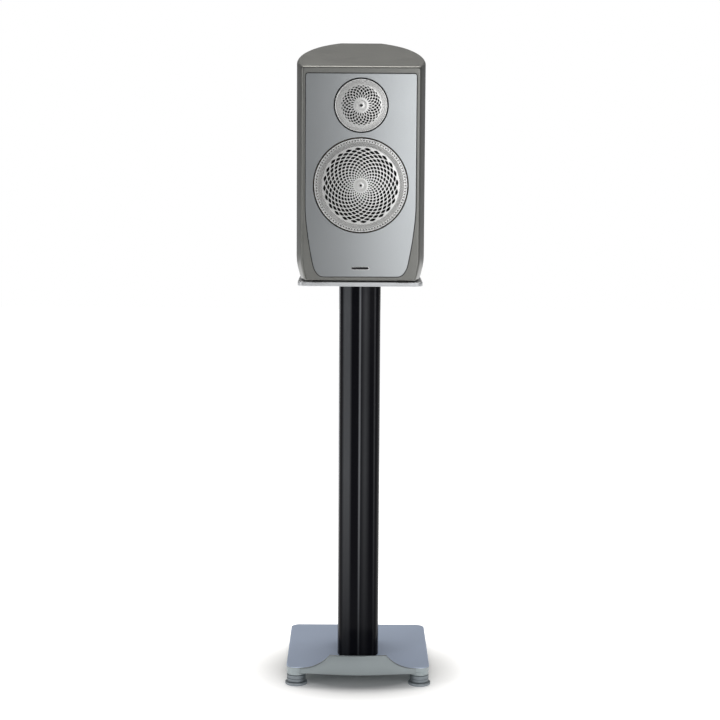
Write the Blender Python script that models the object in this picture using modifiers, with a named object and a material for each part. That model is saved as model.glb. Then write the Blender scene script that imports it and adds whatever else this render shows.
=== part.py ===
"""A compact two-way loudspeaker on its floor stand, as separate pieces.

Metres, +Z up. The origin is on the floor under the middle of the stand, and the front faces -Y.
Depths inside the cabinet are given as t, the distance behind the cabinet's front plane.
"""
import math

import bmesh
import bpy
from mathutils import Matrix, Vector

# ---------------------------------------------------------------- driving dimensions
FRONT_Y = -0.15735          # the cabinet's front plane
GAP = 0.0003                # between pieces that touch
SEGMENTS = 40               # sides of the large round pieces
SMALL_SEGMENTS = 18         # sides of the small ones

# cabinet
FRONT_HALF_WIDTH = 0.103
WIDEST_HALF_WIDTH = 0.113
WIDEST_T = 0.070
TAIL_LENGTH = 0.240         # the ellipse behind the widest place would end here
REAR_T = 0.296
CABINET_BOTTOM = 0.741
CABINET_FRONT_TOP = 1.110
TOP_SLOPE = 0.189           # the top rises towards the rear
WALL = 0.015
TUCK = 0.007                # the lowest part of the walls leans in by this
TUCK_HEIGHT = 0.036
EDGE_RADIUS = 0.005
CORNER_RADIUS = 0.006
BAFFLE_T = (0.003, 0.021)
BADGE_Z = 0.7628
BADGE_HALF = (0.016, 0.003)
BADGE_THICKNESS = 0.0012
BRACE_Z = 0.986
BRACE_THICKNESS = 0.012
LEAD_RADIUS = 0.0012

# silver front panel
PANEL_HALF_WIDTH = 0.0954
PANEL_TOP = 1.0977
PANEL_BOTTOM = 0.748
PANEL_PROUD = 0.004
PANEL_TAPER_TOP = 0.869
PANEL_TAPER = 0.0125
PANEL_TAPER_END = 0.772
PANEL_BOTTOM_HALF = 0.063
PANEL_TOP_CORNER = 0.004

# drivers
WOOFER_Z = 0.9063
WOOFER_HOLE = 0.0826
TWEETER_Z = 1.0436
TWEETER_HOLE = 0.0471
TRIM_WIDTH = 0.0032
TRIM_PROUD = 0.0046         # in front of the cabinet's front plane
COVER_RIM_T = -0.0034
COVER_THICKNESS = 0.0010
VOICE_COIL_RADIUS = 0.0198
TWEETER_COIL_RADIUS = 0.0128

# rear
PORT_Z = 1.032
PORT_RADIUS = 0.025
PORT_LENGTH = 0.110
TERMINAL_Z = 0.815
POST_SPACING = 0.019
TERMINAL_HALF = (0.030, 0.040)
TERMINAL_THICKNESS = 0.0035

# stand
PAD_RADIUS = 0.0095
PAD_X = {"front": 0.074, "rear": 0.0459}
PAD_T = {"front": 0.024, "rear": 0.188}
TOP_PLATE_Z = (0.730, 0.738)
TOP_PLATE_HALF_WIDTH = 0.1095
TOP_PLATE_T = (0.006, 0.216)
COLUMN_HALF_WIDTH = 0.03775
COLUMN_T = (0.111, 0.221)
COLUMN_CORNER = (0.0117, 0.023)
COLUMN_WALL = 0.003
BASE_HALF_WIDTH = 0.130
BASE_T = (0.040, 0.324)
BASE_Z = (0.026, 0.035)
BASE_CORNER = 0.017
BASE_BOW = 0.010
BOSS_BOTTOM = 0.019
BOSS_RADIUS = 0.017
FOOT_PAD_RADIUS = 0.0203
FOOT_INSET = 0.018
FOOT_PAD_HEIGHT = 0.006
STUD_RADIUS = 0.005
FASCIA_HALF_WIDTH = 0.105
FASCIA_TOP = 0.061
FASCIA_FLAT = 0.051
FASCIA_THICKNESS = 0.0055
TIE_ROD_RADIUS = 0.004
TIE_ROD_T = (0.136, 0.196)


# ---------------------------------------------------------------- scene and materials
def clear_scene():
    for obj in list(bpy.data.objects):
        bpy.data.objects.remove(obj, do_unlink=True)


def new_collection(name):
    collection = bpy.data.collections.new(name)
    bpy.context.scene.collection.children.link(collection)
    return collection


clear_scene()
PARTS = new_collection("bookshelf_speaker")
CUTTERS = new_collection("cutters")

FINISHES = {
    "metallic_paint": ((0.19, 0.19, 0.18), 0.38, 0.6),
    "silver_panel": ((0.45, 0.46, 0.47), 0.35, 0.8),
    "cover_silver": ((0.80, 0.80, 0.80), 0.30, 0.9),
    "board": ((0.35, 0.25, 0.16), 0.80, 0.0),
    "foam": ((0.12, 0.12, 0.13), 0.95, 0.0),
    "black_plastic": ((0.02, 0.02, 0.02), 0.45, 0.0),
    "rubber": ((0.015, 0.015, 0.015), 0.80, 0.0),
    "cone_paper": ((0.05, 0.05, 0.05), 0.70, 0.0),
    "cast_metal": ((0.10, 0.10, 0.11), 0.50, 0.5),
    "magnet": ((0.06, 0.06, 0.06), 0.60, 0.2),
    "steel": ((0.50, 0.50, 0.52), 0.30, 1.0),
    "copper": ((0.60, 0.28, 0.12), 0.35, 1.0),
    "gold_plate": ((0.80, 0.58, 0.22), 0.25, 1.0),
    "red_plastic": ((0.45, 0.02, 0.02), 0.35, 0.0),
    "circuit_board": ((0.03, 0.15, 0.07), 0.50, 0.0),
    "stand_silver": ((0.33, 0.35, 0.36), 0.40, 0.8),
    "gloss_black": ((0.01, 0.01, 0.01), 0.08, 0.0),
    "base_paint": ((0.26, 0.30, 0.35), 0.30, 0.7),
    "foot_metal": ((0.16, 0.18, 0.20), 0.45, 0.6),
}


def make_material(name, finish):
    """A Principled material of its own for one piece, in one of the finishes."""
    colour, roughness, metallic = FINISHES[finish]
    material = bpy.data.materials.new(name)
    material.use_nodes = True
    shader = material.node_tree.nodes["Principled BSDF"]
    shader.inputs["Base Color"].default_value = (*colour, 1.0)
    shader.inputs["Roughness"].default_value = roughness
    shader.inputs["Metallic"].default_value = metallic
    return material


# ---------------------------------------------------------------- making pieces
def new_object(name, mesh, finish):
    """Puts a mesh in the scene as a named piece, or as a cutter if it has no finish."""
    obj = bpy.data.objects.new(name, mesh)
    if finish is None:
        CUTTERS.objects.link(obj)
        obj.hide_render = True
        obj.display_type = "WIRE"
    else:
        PARTS.objects.link(obj)
        mesh.materials.append(make_material(name, finish))
    return obj


def smooth(mesh):
    """Smooth shading, with edges over 35 degrees kept sharp."""
    mesh.shade_smooth()
    mesh.set_sharp_from_angle(angle=math.radians(35))


def turned(name, profile, finish, place=(0, 0, 0), facing="up", steps=SEGMENTS):
    """A turned piece. The profile is (radius, height) and runs down its outer side.

    A profile that ends on the axis makes a solid disc; any other is closed into a ring.
    """
    mesh = bpy.data.meshes.new(name)
    count = len(profile)
    ring = min(radius for radius, height in profile) > 0
    edges = [(i, i + 1) for i in range(count - 1)]
    if ring:
        edges.append((count - 1, 0))
    mesh.from_pydata([(radius, 0, height) for radius, height in profile], edges, [])
    obj = new_object(name, mesh, finish)
    obj.location = place
    if facing == "front":
        obj.rotation_euler = (math.pi / 2, 0, 0)
    screw = obj.modifiers.new("turn", "SCREW")
    screw.steps = steps
    screw.render_steps = steps
    screw.use_merge_vertices = True
    screw.merge_threshold = 0.00001
    screw.use_smooth_shade = False
    return obj


def turned_facing_front(name, profile, finish, z, x=0.0, steps=SEGMENTS):
    """A turned piece on an axis along Y, its profile given as (radius, depth t)."""
    heights = [(radius, -t) for radius, t in profile]
    return turned(name, heights, finish, (x, FRONT_Y, z), "front", steps)


def filleted(points, radii, steps=5):
    """A closed outline with its corners rounded: one radius for each corner, 0 for a sharp one."""
    out = []
    count = len(points)
    for i, (point, radius) in enumerate(zip(points, radii)):
        here = Vector(point)
        before = (Vector(points[i - 1]) - here).normalized()
        after = (Vector(points[(i + 1) % count]) - here).normalized()
        if radius <= 0:
            out.append(tuple(here))
            continue
        half = before.angle(after) / 2
        centre = here + (before + after).normalized() * (radius / math.sin(half))
        first = here + before * (radius / math.tan(half)) - centre
        last = here + after * (radius / math.tan(half)) - centre
        start = math.atan2(first.y, first.x)
        turn = math.atan2(last.y, last.x) - start
        turn = (turn + math.pi) % (2 * math.pi) - math.pi
        for k in range(steps + 1):
            angle = start + turn * k / steps
            out.append((centre.x + radius * math.cos(angle), centre.y + radius * math.sin(angle)))
    return out


def circle(radius, centre=(0, 0), steps=SMALL_SEGMENTS):
    """Points round a circle."""
    turns = [2 * math.pi * k / steps for k in range(steps)]
    return [(centre[0] + radius * math.cos(a), centre[1] + radius * math.sin(a)) for a in turns]


def plate(name, outlines, low, high, finish, upright=False):
    """A flat piece from an outline and its holes, between two heights.

    An upright one has its outline in X and Z, and low and high are its Y faces.
    """
    curve = bpy.data.curves.new(name + "_outline", "CURVE")
    curve.dimensions = "2D"
    curve.fill_mode = "BOTH"
    curve.extrude = (high - low) / 2
    for outline in outlines:
        spline = curve.splines.new("POLY")
        spline.points.add(len(outline) - 1)
        for point, (x, y) in zip(spline.points, outline):
            point.co = (x, y, 0, 1)
        spline.use_cyclic_u = True
    mesh = mesh_from_curve(name, curve)
    if upright:
        mesh.transform(Matrix.Rotation(math.pi / 2, 4, "X"))
        mesh.transform(Matrix.Translation((0, (low + high) / 2, 0)))
    else:
        mesh.transform(Matrix.Translation((0, 0, (low + high) / 2)))
    return new_object(name, mesh, finish)


def mesh_from_curve(name, curve):
    """The closed mesh of a curve, with its caps welded to its sides."""
    holder = bpy.data.objects.new(name + "_curve", curve)
    CUTTERS.objects.link(holder)
    graph = bpy.context.evaluated_depsgraph_get()
    mesh = bpy.data.meshes.new_from_object(holder.evaluated_get(graph))
    bpy.data.objects.remove(holder, do_unlink=True)
    mesh.name = name
    work = bmesh.new()
    work.from_mesh(mesh)
    bmesh.ops.remove_doubles(work, verts=work.verts, dist=0.00001)
    bmesh.ops.recalc_face_normals(work, faces=work.faces)
    work.to_mesh(mesh)
    work.free()
    mesh.materials.clear()
    return mesh


def tube(name, points, radius, finish):
    """A wire through points, with filled ends."""
    curve = bpy.data.curves.new(name + "_path", "CURVE")
    curve.dimensions = "3D"
    curve.bevel_depth = radius
    curve.bevel_resolution = 1
    curve.use_fill_caps = True
    spline = curve.splines.new("POLY")
    spline.points.add(len(points) - 1)
    for point, place in zip(spline.points, points):
        point.co = (*place, 1)
    return new_object(name, mesh_from_curve(name, curve), finish)


def smooth_path(points, steps=4):
    """Points along a Catmull-Rom curve through the given ones."""
    ends = [2 * Vector(points[0]) - Vector(points[1]), 2 * Vector(points[-1]) - Vector(points[-2])]
    stops = [ends[0], *map(Vector, points), ends[1]]
    out = []
    for a, b, c, d in zip(stops, stops[1:], stops[2:], stops[3:]):
        for k in range(steps):
            u = k / steps
            out.append(0.5 * (2 * b + (c - a) * u + (2 * a - 5 * b + 4 * c - d) * u ** 2
                              + (3 * b - a - 3 * c + d) * u ** 3))
    out.append(Vector(points[-1]))
    return out


def box(name, low, high, finish, bevel=0.0):
    """A block between two corners, with its edges bevelled."""
    mesh = bpy.data.meshes.new(name)
    work = bmesh.new()
    bmesh.ops.create_cube(work, size=1.0)
    size = [b - a for a, b in zip(low, high)]
    middle = [(a + b) / 2 for a, b in zip(low, high)]
    bmesh.ops.scale(work, vec=size, verts=work.verts)
    bmesh.ops.translate(work, vec=middle, verts=work.verts)
    work.to_mesh(mesh)
    work.free()
    obj = new_object(name, mesh, finish)
    if bevel:
        edge = obj.modifiers.new("edges", "BEVEL")
        edge.width = bevel
        edge.segments = 2
    return obj


def cylinder_cutter(name, radius, start, end, steps=SMALL_SEGMENTS):
    """A cutter along the line from start to end."""
    start, end = Vector(start), Vector(end)
    mesh = bpy.data.meshes.new(name)
    work = bmesh.new()
    turn = (end - start).to_track_quat("Z", "Y").to_matrix().to_4x4()
    bmesh.ops.create_cone(work, cap_ends=True, segments=steps, radius1=radius, radius2=radius,
                          depth=(end - start).length,
                          matrix=Matrix.Translation((start + end) / 2) @ turn)
    work.to_mesh(mesh)
    work.free()
    return new_object(name, mesh, None)


def cut(obj, cutter, operation="DIFFERENCE"):
    """Cuts a piece with a cutter, or joins the cutter to it."""
    boolean = obj.modifiers.new(cutter.name, "BOOLEAN")
    boolean.operation = operation
    boolean.object = cutter
    boolean.solver = "EXACT"


def loft(name, rings, finish):
    """A closed body through rings of equal numbers of points, with flat ends."""
    mesh = bpy.data.meshes.new(name)
    count = len(rings[0])
    points = [point for ring in rings for point in ring]
    faces = [tuple(range(count))[::-1]]
    for level in range(len(rings) - 1):
        low, high = level * count, (level + 1) * count
        for i in range(count):
            j = (i + 1) % count
            faces.append((low + i, low + j, high + j, high + i))
    faces.append(tuple(range((len(rings) - 1) * count, len(rings) * count)))
    mesh.from_pydata(points, [], faces)
    work = bmesh.new()
    work.from_mesh(mesh)
    bmesh.ops.recalc_face_normals(work, faces=work.faces)
    work.to_mesh(mesh)
    work.free()
    return new_object(name, mesh, finish)


# ---------------------------------------------------------------- cabinet
def half_width(t):
    """The cabinet's half width at depth t: a parabola to the widest place, then an ellipse."""
    if t < WIDEST_T:
        swell = WIDEST_HALF_WIDTH - FRONT_HALF_WIDTH
        return WIDEST_HALF_WIDTH - swell * ((WIDEST_T - t) / WIDEST_T) ** 2
    return WIDEST_HALF_WIDTH * math.sqrt(1 - ((t - WIDEST_T) / TAIL_LENGTH) ** 2)


def cabinet_outline(corner, steps=14):
    """The cabinet's plan as (x, t), anticlockwise from above, with its four corners rounded."""
    depths = [REAR_T * math.sin(math.pi / 2 * k / steps) ** 1.15 for k in range(steps + 1)]
    right = [(half_width(t), t) for t in depths]
    left = [(-x, t) for x, t in reversed(right)]
    points = right + left
    radii = [0.0] * len(points)
    for i in (0, steps, steps + 1, 2 * steps + 1):
        radii[i] = corner
    return filleted(points, radii, 3)


def inset(outline, amount):
    """The same outline moved inwards by an amount, each point along its own normal."""
    count = len(outline)
    out = []
    for i, point in enumerate(outline):
        here = Vector(point)
        before = (here - Vector(outline[i - 1])).normalized()
        after = (Vector(outline[(i + 1) % count]) - here).normalized()
        along = (before + after).normalized()
        inward = Vector((-along.y, along.x))
        out.append(tuple(here + inward * amount / before.dot(along)))
    return out


def leaned(outline, lean):
    """The same outline made narrower, by an amount on each side at its front corners."""
    return [(x * (1 - lean / FRONT_HALF_WIDTH), t) for x, t in outline]


def top_height(t):
    return CABINET_FRONT_TOP + TOP_SLOPE * t


def ring_at(outline, height):
    """An outline as world points, at a height that may depend on the depth."""
    return [(x, FRONT_Y + t, height(t)) for x, t in outline]


def level(z):
    """A height that is the same at every depth."""
    return lambda t: z


def below_top(drop):
    """A height that follows the sloping top."""
    return lambda t: top_height(t) - drop


def make_cabinet():
    outline = cabinet_outline(CORNER_RADIUS)
    rings = []
    for height, extra in ((0.0, 0.004), (0.0012, 0.0012), (0.004, 0.0), (0.013, 0.0),
                          (0.024, 0.0), (TUCK_HEIGHT, 0.0)):
        lean = TUCK * (1 - height / TUCK_HEIGHT) ** 1.5
        ring = leaned(inset(outline, extra), lean)
        rings.append(ring_at(ring, level(CABINET_BOTTOM + height)))
    for k in range(4):
        angle = math.pi / 2 * k / 3
        pull = EDGE_RADIUS * (1 - math.cos(angle))
        drop = EDGE_RADIUS * (1 - math.sin(angle))
        rings.append(ring_at(inset(outline, pull), below_top(drop)))
    shell = loft("cabinet_shell", rings, "metallic_paint")

    inside = inset(cabinet_outline(0.0), WALL)
    opened = [(x, t if t > WALL + GAP else -WALL) for x, t in inside]
    hollow = loft("cabinet_hollow", [ring_at(opened, level(CABINET_BOTTOM + WALL)),
                                     ring_at(opened, below_top(WALL))], None)
    cut(shell, hollow)
    rear = FRONT_Y + REAR_T
    cut(shell, cylinder_cutter("port_hole", PORT_RADIUS + 0.0045,
                               (0, rear - 0.04, PORT_Z), (0, rear + 0.01, PORT_Z), 28))
    for side in (-1, 1):
        x = side * POST_SPACING / 2
        cut(shell, cylinder_cutter(f"post_hole_{side}", 0.0052,
                                   (x, rear - 0.04, TERMINAL_Z), (x, rear + 0.01, TERMINAL_Z)))


def panel_outline():
    """The front panel: straight sides, a growing taper below, then a rounded bottom corner."""
    right = []
    steps = 6
    for k in range(steps + 1):
        z = PANEL_TAPER_TOP + (PANEL_TAPER_END - PANEL_TAPER_TOP) * k / steps
        right.append((PANEL_HALF_WIDTH - PANEL_TAPER * (k / steps) ** 1.56, z))
    start = Vector(right[-1])
    slope = (right[-1][0] - right[-2][0]) / (right[-1][1] - right[-2][1])
    control = Vector((start.x + slope * (PANEL_BOTTOM - start.y), PANEL_BOTTOM))
    end = Vector((PANEL_BOTTOM_HALF, PANEL_BOTTOM))
    for k in range(1, 7):
        u = k / 6
        right.append(tuple(start * (1 - u) ** 2 + control * 2 * u * (1 - u) + end * u ** 2))
    corner = filleted([(0, PANEL_TOP), (PANEL_HALF_WIDTH, PANEL_TOP), (PANEL_HALF_WIDTH, 0)],
                      [0, PANEL_TOP_CORNER, 0], 4)
    right = corner[1:-1] + right
    return right + [(-x, z) for x, z in reversed(right)]


def make_front():
    inner = half_width(BAFFLE_T[0]) - WALL - 0.0006
    low = CABINET_BOTTOM + WALL + GAP
    high = top_height(BAFFLE_T[0]) - WALL - GAP
    outline = [(-inner, low), (inner, low), (inner, high), (-inner, high)]
    plate("front_baffle",
          [outline,
           circle(0.0720, (0, WOOFER_Z), SEGMENTS),
           circle(0.0360, (0, TWEETER_Z), SEGMENTS)],
          FRONT_Y + BAFFLE_T[0], FRONT_Y + BAFFLE_T[1], "board", upright=True)
    plate("baffle_panel",
          [panel_outline(),
           circle(WOOFER_HOLE, (0, WOOFER_Z), 56),
           circle(TWEETER_HOLE, (0, TWEETER_Z), SEGMENTS)],
          FRONT_Y - PANEL_PROUD, FRONT_Y - GAP, "silver_panel", upright=True)
    half_x, half_z = BADGE_HALF
    proud = FRONT_Y - PANEL_PROUD - GAP
    box("badge", (-half_x, proud - BADGE_THICKNESS, BADGE_Z - half_z),
        (half_x, proud, BADGE_Z + half_z), "cover_silver", 0.0004)


def make_inside():
    walls = inset(cabinet_outline(0.0), WALL + 2 * GAP)
    outline = [(x, FRONT_Y + t) for x, t in walls if 0.060 < t < 0.240]
    window = filleted([(-0.060, FRONT_Y + 0.080), (0.060, FRONT_Y + 0.080),
                       (0.045, FRONT_Y + 0.215), (-0.045, FRONT_Y + 0.215)], [0.012] * 4)
    plate("internal_brace", [outline, window], BRACE_Z, BRACE_Z + BRACE_THICKNESS,
          "board")
    box("damping_foam", (-0.078, FRONT_Y + 0.050, CABINET_BOTTOM + WALL + GAP),
        (0.078, FRONT_Y + 0.170, CABINET_BOTTOM + WALL + 0.020), "foam")

    board_z = CABINET_BOTTOM + WALL + 0.026
    board_y = (FRONT_Y + 0.180, FRONT_Y + 0.250)
    box("crossover_board", (-0.040, board_y[0], board_z), (0.040, board_y[1], board_z + 0.0016),
        "circuit_board")
    top = board_z + 0.0016 + GAP
    middle = (board_y[0] + board_y[1]) / 2
    turned("crossover_coil", [(0.006, top + 0.014), (0.015, top + 0.014), (0.015, top), (0.006, top)],
           "copper", (-0.022, middle, 0), steps=SMALL_SEGMENTS)
    capacitor = turned("crossover_capacitor",
                       [(0, 0.019), (0.0065, 0.019), (0.007, 0.0185), (0.007, -0.0185),
                        (0.0065, -0.019), (0, -0.019)],
                       "black_plastic", (0.018, middle, top + 0.0072), steps=SMALL_SEGMENTS)
    capacitor.rotation_euler = (math.pi / 2, 0, 0)
    box("crossover_resistor", (0.028, middle - 0.020, top), (0.036, middle + 0.020, top + 0.008),
        "cast_metal", 0.0008)
    start = Vector((-0.034, board_y[0] + 0.004, top + LEAD_RADIUS))
    tube("woofer_lead",
         smooth_path([start, start + Vector((0, -0.010, 0.012)), (-0.050, FRONT_Y + 0.140, 0.850),
                      (-0.052, FRONT_Y + 0.070, 0.880), (-0.051, FRONT_Y + 0.0545, 0.895)]),
         LEAD_RADIUS, "rubber")
    start = Vector((0.034, board_y[0] + 0.004, top + LEAD_RADIUS))
    tube("tweeter_lead",
         smooth_path([start, start + Vector((0, -0.006, 0.015)), (0.036, FRONT_Y + 0.160, 0.880),
                      (0.036, FRONT_Y + 0.156, 0.960), (0.034, FRONT_Y + 0.134, 1.010),
                      (0.014, FRONT_Y + 0.070, TWEETER_Z - 0.006),
                      (0.010, FRONT_Y + 0.0560, TWEETER_Z)]),
         LEAD_RADIUS, "rubber")


# ---------------------------------------------------------------- drivers
def trim_profile(inner, outer):
    """The ring round a driver's cover: from the panel's front out past its face, chamfered outside."""
    chamfer = 0.0004
    return [(inner, -TRIM_PROUD), (outer - chamfer, -TRIM_PROUD), (outer, chamfer - TRIM_PROUD),
            (outer, -GAP), (inner, -GAP)]


def cover_profile(radius, crown, steps):
    """A shallow dome: its front face from the middle outwards, then its back face."""
    front = []
    for k in range(steps + 1):
        share = k / steps
        front.append((radius * share, COVER_RIM_T - crown * (1 - share ** 2)))
    back = [(r, t + COVER_THICKNESS) for r, t in reversed(front)]
    return front + back


def make_woofer():
    def part(name, profile, finish, steps=SEGMENTS):
        return turned_facing_front(name, profile, finish, WOOFER_Z, steps=steps)

    outer = WOOFER_HOLE - 0.0008
    inner = outer - TRIM_WIDTH
    part("woofer_trim_ring", trim_profile(inner, outer), "cover_silver", 48)
    part("woofer_cover", cover_profile(inner - GAP, 0.0062, 4), "cover_silver", 48)
    part("woofer_basket",
         [(0.0693, 0.0003), (0.0795, 0.0003), (0.0795, 0.0027), (0.0713, 0.0027),
          (0.0713, 0.0120), (0.0475, 0.0440), (0.0460, 0.0517), (0.0240, 0.0517),
          (0.0240, 0.0480), (0.0410, 0.0480), (0.0435, 0.0430), (0.0655, 0.0115),
          (0.0655, 0.0080), (0.0693, 0.0080)], "cast_metal")
    roll_r, roll_t = 0.061, 0.0067
    steps = 5
    front = []
    back = []
    for k in range(steps + 1):
        angle = math.pi * (1 - k / steps)
        front.append((roll_r + 0.0048 * math.cos(angle), roll_t - 0.0048 * math.sin(angle)))
        back.append((roll_r + 0.0040 * math.cos(angle), roll_t + 0.0010 - 0.0040 * math.sin(angle)))
    part("woofer_surround",
         [(0.0535, roll_t), *front, (0.0689, roll_t), (0.0689, roll_t + 0.0010), *reversed(back),
          (0.0535, roll_t + 0.0010)], "rubber")
    part("woofer_cone",
         [(0.0202, 0.0325), (0.0530, 0.0082), (0.0570, 0.0080), (0.0570, 0.0088),
          (0.0535, 0.0092), (0.0202, 0.0338)], "cone_paper")
    cap = []
    for k in range(4):
        share = k / 3
        cap.append((0.0250 * share, 0.0215 + 0.0065 * share ** 2))
    part("woofer_dust_cap", cap + [(r, t + 0.0007) for r, t in reversed(cap)], "cone_paper",
         SMALL_SEGMENTS)
    part("woofer_voice_coil",
         [(0.0192, 0.0300), (VOICE_COIL_RADIUS, 0.0300), (VOICE_COIL_RADIUS, 0.0620),
          (0.0192, 0.0620)], "copper", SMALL_SEGMENTS)
    corrugation = []
    for k in range(7):
        radius = 0.0202 + (0.0405 - 0.0202) * k / 6
        corrugation.append((radius, 0.0440 + 0.0010 * (-1) ** k))
    part("woofer_spider",
         corrugation + [(r, t + 0.0006) for r, t in reversed(corrugation)], "board", SMALL_SEGMENTS)
    part("woofer_front_pole_plate",
         [(0.0206, 0.0520), (0.0460, 0.0520), (0.0460, 0.0580), (0.0206, 0.0580)], "steel", 28)
    part("woofer_magnet",
         [(0.0240, 0.0583), (0.0500, 0.0583), (0.0510, 0.0593), (0.0510, 0.0753),
          (0.0500, 0.0763), (0.0240, 0.0763)], "magnet", 32)
    part("woofer_pole_piece",
         [(0, 0.0522), (0.0178, 0.0522), (0.0184, 0.0528), (0.0184, 0.0766), (0.0460, 0.0766),
          (0.0460, 0.0816), (0.0440, 0.0836), (0, 0.0836)], "steel", 28)


def make_tweeter():
    def part(name, profile, finish, steps=SEGMENTS):
        return turned_facing_front(name, profile, finish, TWEETER_Z, steps=steps)

    outer = TWEETER_HOLE - 0.0008
    inner = outer - TRIM_WIDTH
    part("tweeter_trim_ring", trim_profile(inner, outer), "cover_silver")
    part("tweeter_cover", cover_profile(inner - GAP, 0.0042, 3), "cover_silver")
    flare = []
    for k in range(3):
        share = k / 2
        flare.append((0.0175 + 0.010 * share ** 2, 0.0024 - 0.0021 * share))
    part("tweeter_faceplate",
         [*flare, (0.0500, 0.0003), (0.0500, 0.0027), (0.0350, 0.0027), (0.0350, 0.0058),
          (0.0175, 0.0058)], "cast_metal", 32)
    rise = []
    for k in range(5):
        angle = math.pi / 2 * k / 4
        rise.append((0.0124 * math.sin(angle), 0.0042 - 0.0052 * math.cos(angle)))
    part("tweeter_dome", rise + [(r * 0.97, t + 0.0003) for r, t in reversed(rise)], "black_plastic",
         SMALL_SEGMENTS)
    roll = []
    for k in range(5):
        angle = math.pi * (1 - k / 4)
        roll.append((0.0148 + 0.0018 * math.cos(angle), 0.0042 - 0.0010 * math.sin(angle)))
    part("tweeter_surround", roll + [(r, t + 0.0004) for r, t in reversed(roll)], "rubber",
         SMALL_SEGMENTS)
    part("tweeter_voice_coil",
         [(0.0124, 0.0050), (TWEETER_COIL_RADIUS, 0.0050), (TWEETER_COIL_RADIUS, 0.0110),
          (0.0124, 0.0110)], "copper", SMALL_SEGMENTS)
    part("tweeter_magnet",
         [(0, 0.0064), (0.0116, 0.0064), (0.0116, 0.0145), (0.0136, 0.0145), (0.0136, 0.0061),
          (0.0330, 0.0061), (0.0330, 0.0300), (0, 0.0300)],
         "magnet", 28)
    part("tweeter_rear_chamber",
         [(0, 0.0303), (0.0270, 0.0303), (0.0270, 0.0500), (0.0230, 0.0530), (0, 0.0530)],
         "black_plastic", 24)


# ---------------------------------------------------------------- rear
def make_rear():
    lip = PORT_RADIUS + 0.0080
    outer = PORT_RADIUS + 0.0030
    mouth = REAR_T - PORT_LENGTH
    turned_facing_front(
        "port_tube",
        [(outer, mouth), (PORT_RADIUS + 0.0042, mouth + 0.001), (outer, mouth + 0.012),
         (outer, REAR_T + GAP), (lip, REAR_T + GAP), (lip, REAR_T + 0.0015),
         (lip - 0.0015, REAR_T + 0.0030), (PORT_RADIUS + 0.0045, REAR_T + 0.0030),
         (PORT_RADIUS + 0.0012, REAR_T - 0.0030), (PORT_RADIUS, REAR_T - 0.0130),
         (PORT_RADIUS, mouth + 0.012)],
        "black_plastic", PORT_Z, steps=28)
    half_x, half_z = TERMINAL_HALF
    outline = filleted([(-half_x, TERMINAL_Z - half_z), (half_x, TERMINAL_Z - half_z),
                        (half_x, TERMINAL_Z + half_z), (-half_x, TERMINAL_Z + half_z)],
                       [0.006] * 4)
    holes = [circle(0.0033, (side * POST_SPACING / 2, TERMINAL_Z)) for side in (-1, 1)]
    back = REAR_T + GAP + TERMINAL_THICKNESS
    plate("terminal_plate", [outline, *holes], FRONT_Y + REAR_T + GAP, FRONT_Y + back,
          "black_plastic", upright=True)
    for side, name, finish in ((-1, "negative", "black_plastic"), (1, "positive", "red_plastic")):
        x = side * POST_SPACING / 2
        post = [(0, back + 0.0245), (0.0023, back + 0.0245), (0.0028, back + 0.0240),
                (0.0028, back - 0.0125), (0.0046, back - 0.0125), (0.0046, back - 0.0185),
                (0, back - 0.0185)]
        turned_backwards("post_stud_" + name, post, "gold_plate", x)
        turned_backwards("post_washer_" + name,
                         [(0.0032, back + 0.0015), (0.0070, back + 0.0015), (0.0070, back + GAP),
                          (0.0032, back + GAP)], "gold_plate", x)
        nut = knurled_nut("post_nut_" + name, back + 0.0018, 0.0165, finish, x)
        nut.rotation_euler = (-math.pi / 2, 0, 0)


def turned_backwards(name, profile, finish, x):
    """A turned piece on a post's axis, its profile as (radius, t), running from rear to front."""
    obj = turned(name, [(r, t) for r, t in profile], finish, (x, FRONT_Y, TERMINAL_Z),
                 steps=SMALL_SEGMENTS)
    obj.rotation_euler = (-math.pi / 2, 0, 0)
    return obj


def knurled_nut(name, start, length, finish, x):
    """A binding post's nut: a bored cylinder with grip flutes round it."""
    flutes = 9
    outline = []
    for k in range(flutes * 4):
        radius = 0.0070 if k % 4 in (0, 1) else 0.0064
        angle = 2 * math.pi * k / (flutes * 4)
        outline.append((radius * math.cos(angle), radius * math.sin(angle)))
    nut = plate(name, [outline, circle(0.0032)], start, start + length, finish)
    nut.location = (x, FRONT_Y, TERMINAL_Z)
    return nut


# ---------------------------------------------------------------- stand
def make_top_plate():
    t_low, t_high = TOP_PLATE_T
    w = TOP_PLATE_HALF_WIDTH
    outline = filleted([(-w, FRONT_Y + t_low), (w, FRONT_Y + t_low), (w, FRONT_Y + t_high),
                        (-w, FRONT_Y + t_high)], [0.010] * 4)
    holes = [circle(TIE_ROD_RADIUS + 0.0004, (0, FRONT_Y + t)) for t in TIE_ROD_T]
    plate("stand_top_plate", [outline, *holes], *TOP_PLATE_Z, "stand_silver")
    for row, t in PAD_T.items():
        for side, word in ((-1, "left"), (1, "right")):
            turned(f"cabinet_pad_{row}_{word}",
                   [(0, CABINET_BOTTOM - GAP), (PAD_RADIUS - 0.0003, CABINET_BOTTOM - GAP),
                    (PAD_RADIUS, CABINET_BOTTOM - 0.0006), (PAD_RADIUS, TOP_PLATE_Z[1] + GAP),
                    (0, TOP_PLATE_Z[1] + GAP)],
                   "rubber", (side * PAD_X[row], FRONT_Y + t, 0),
                   steps=SMALL_SEGMENTS)


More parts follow.
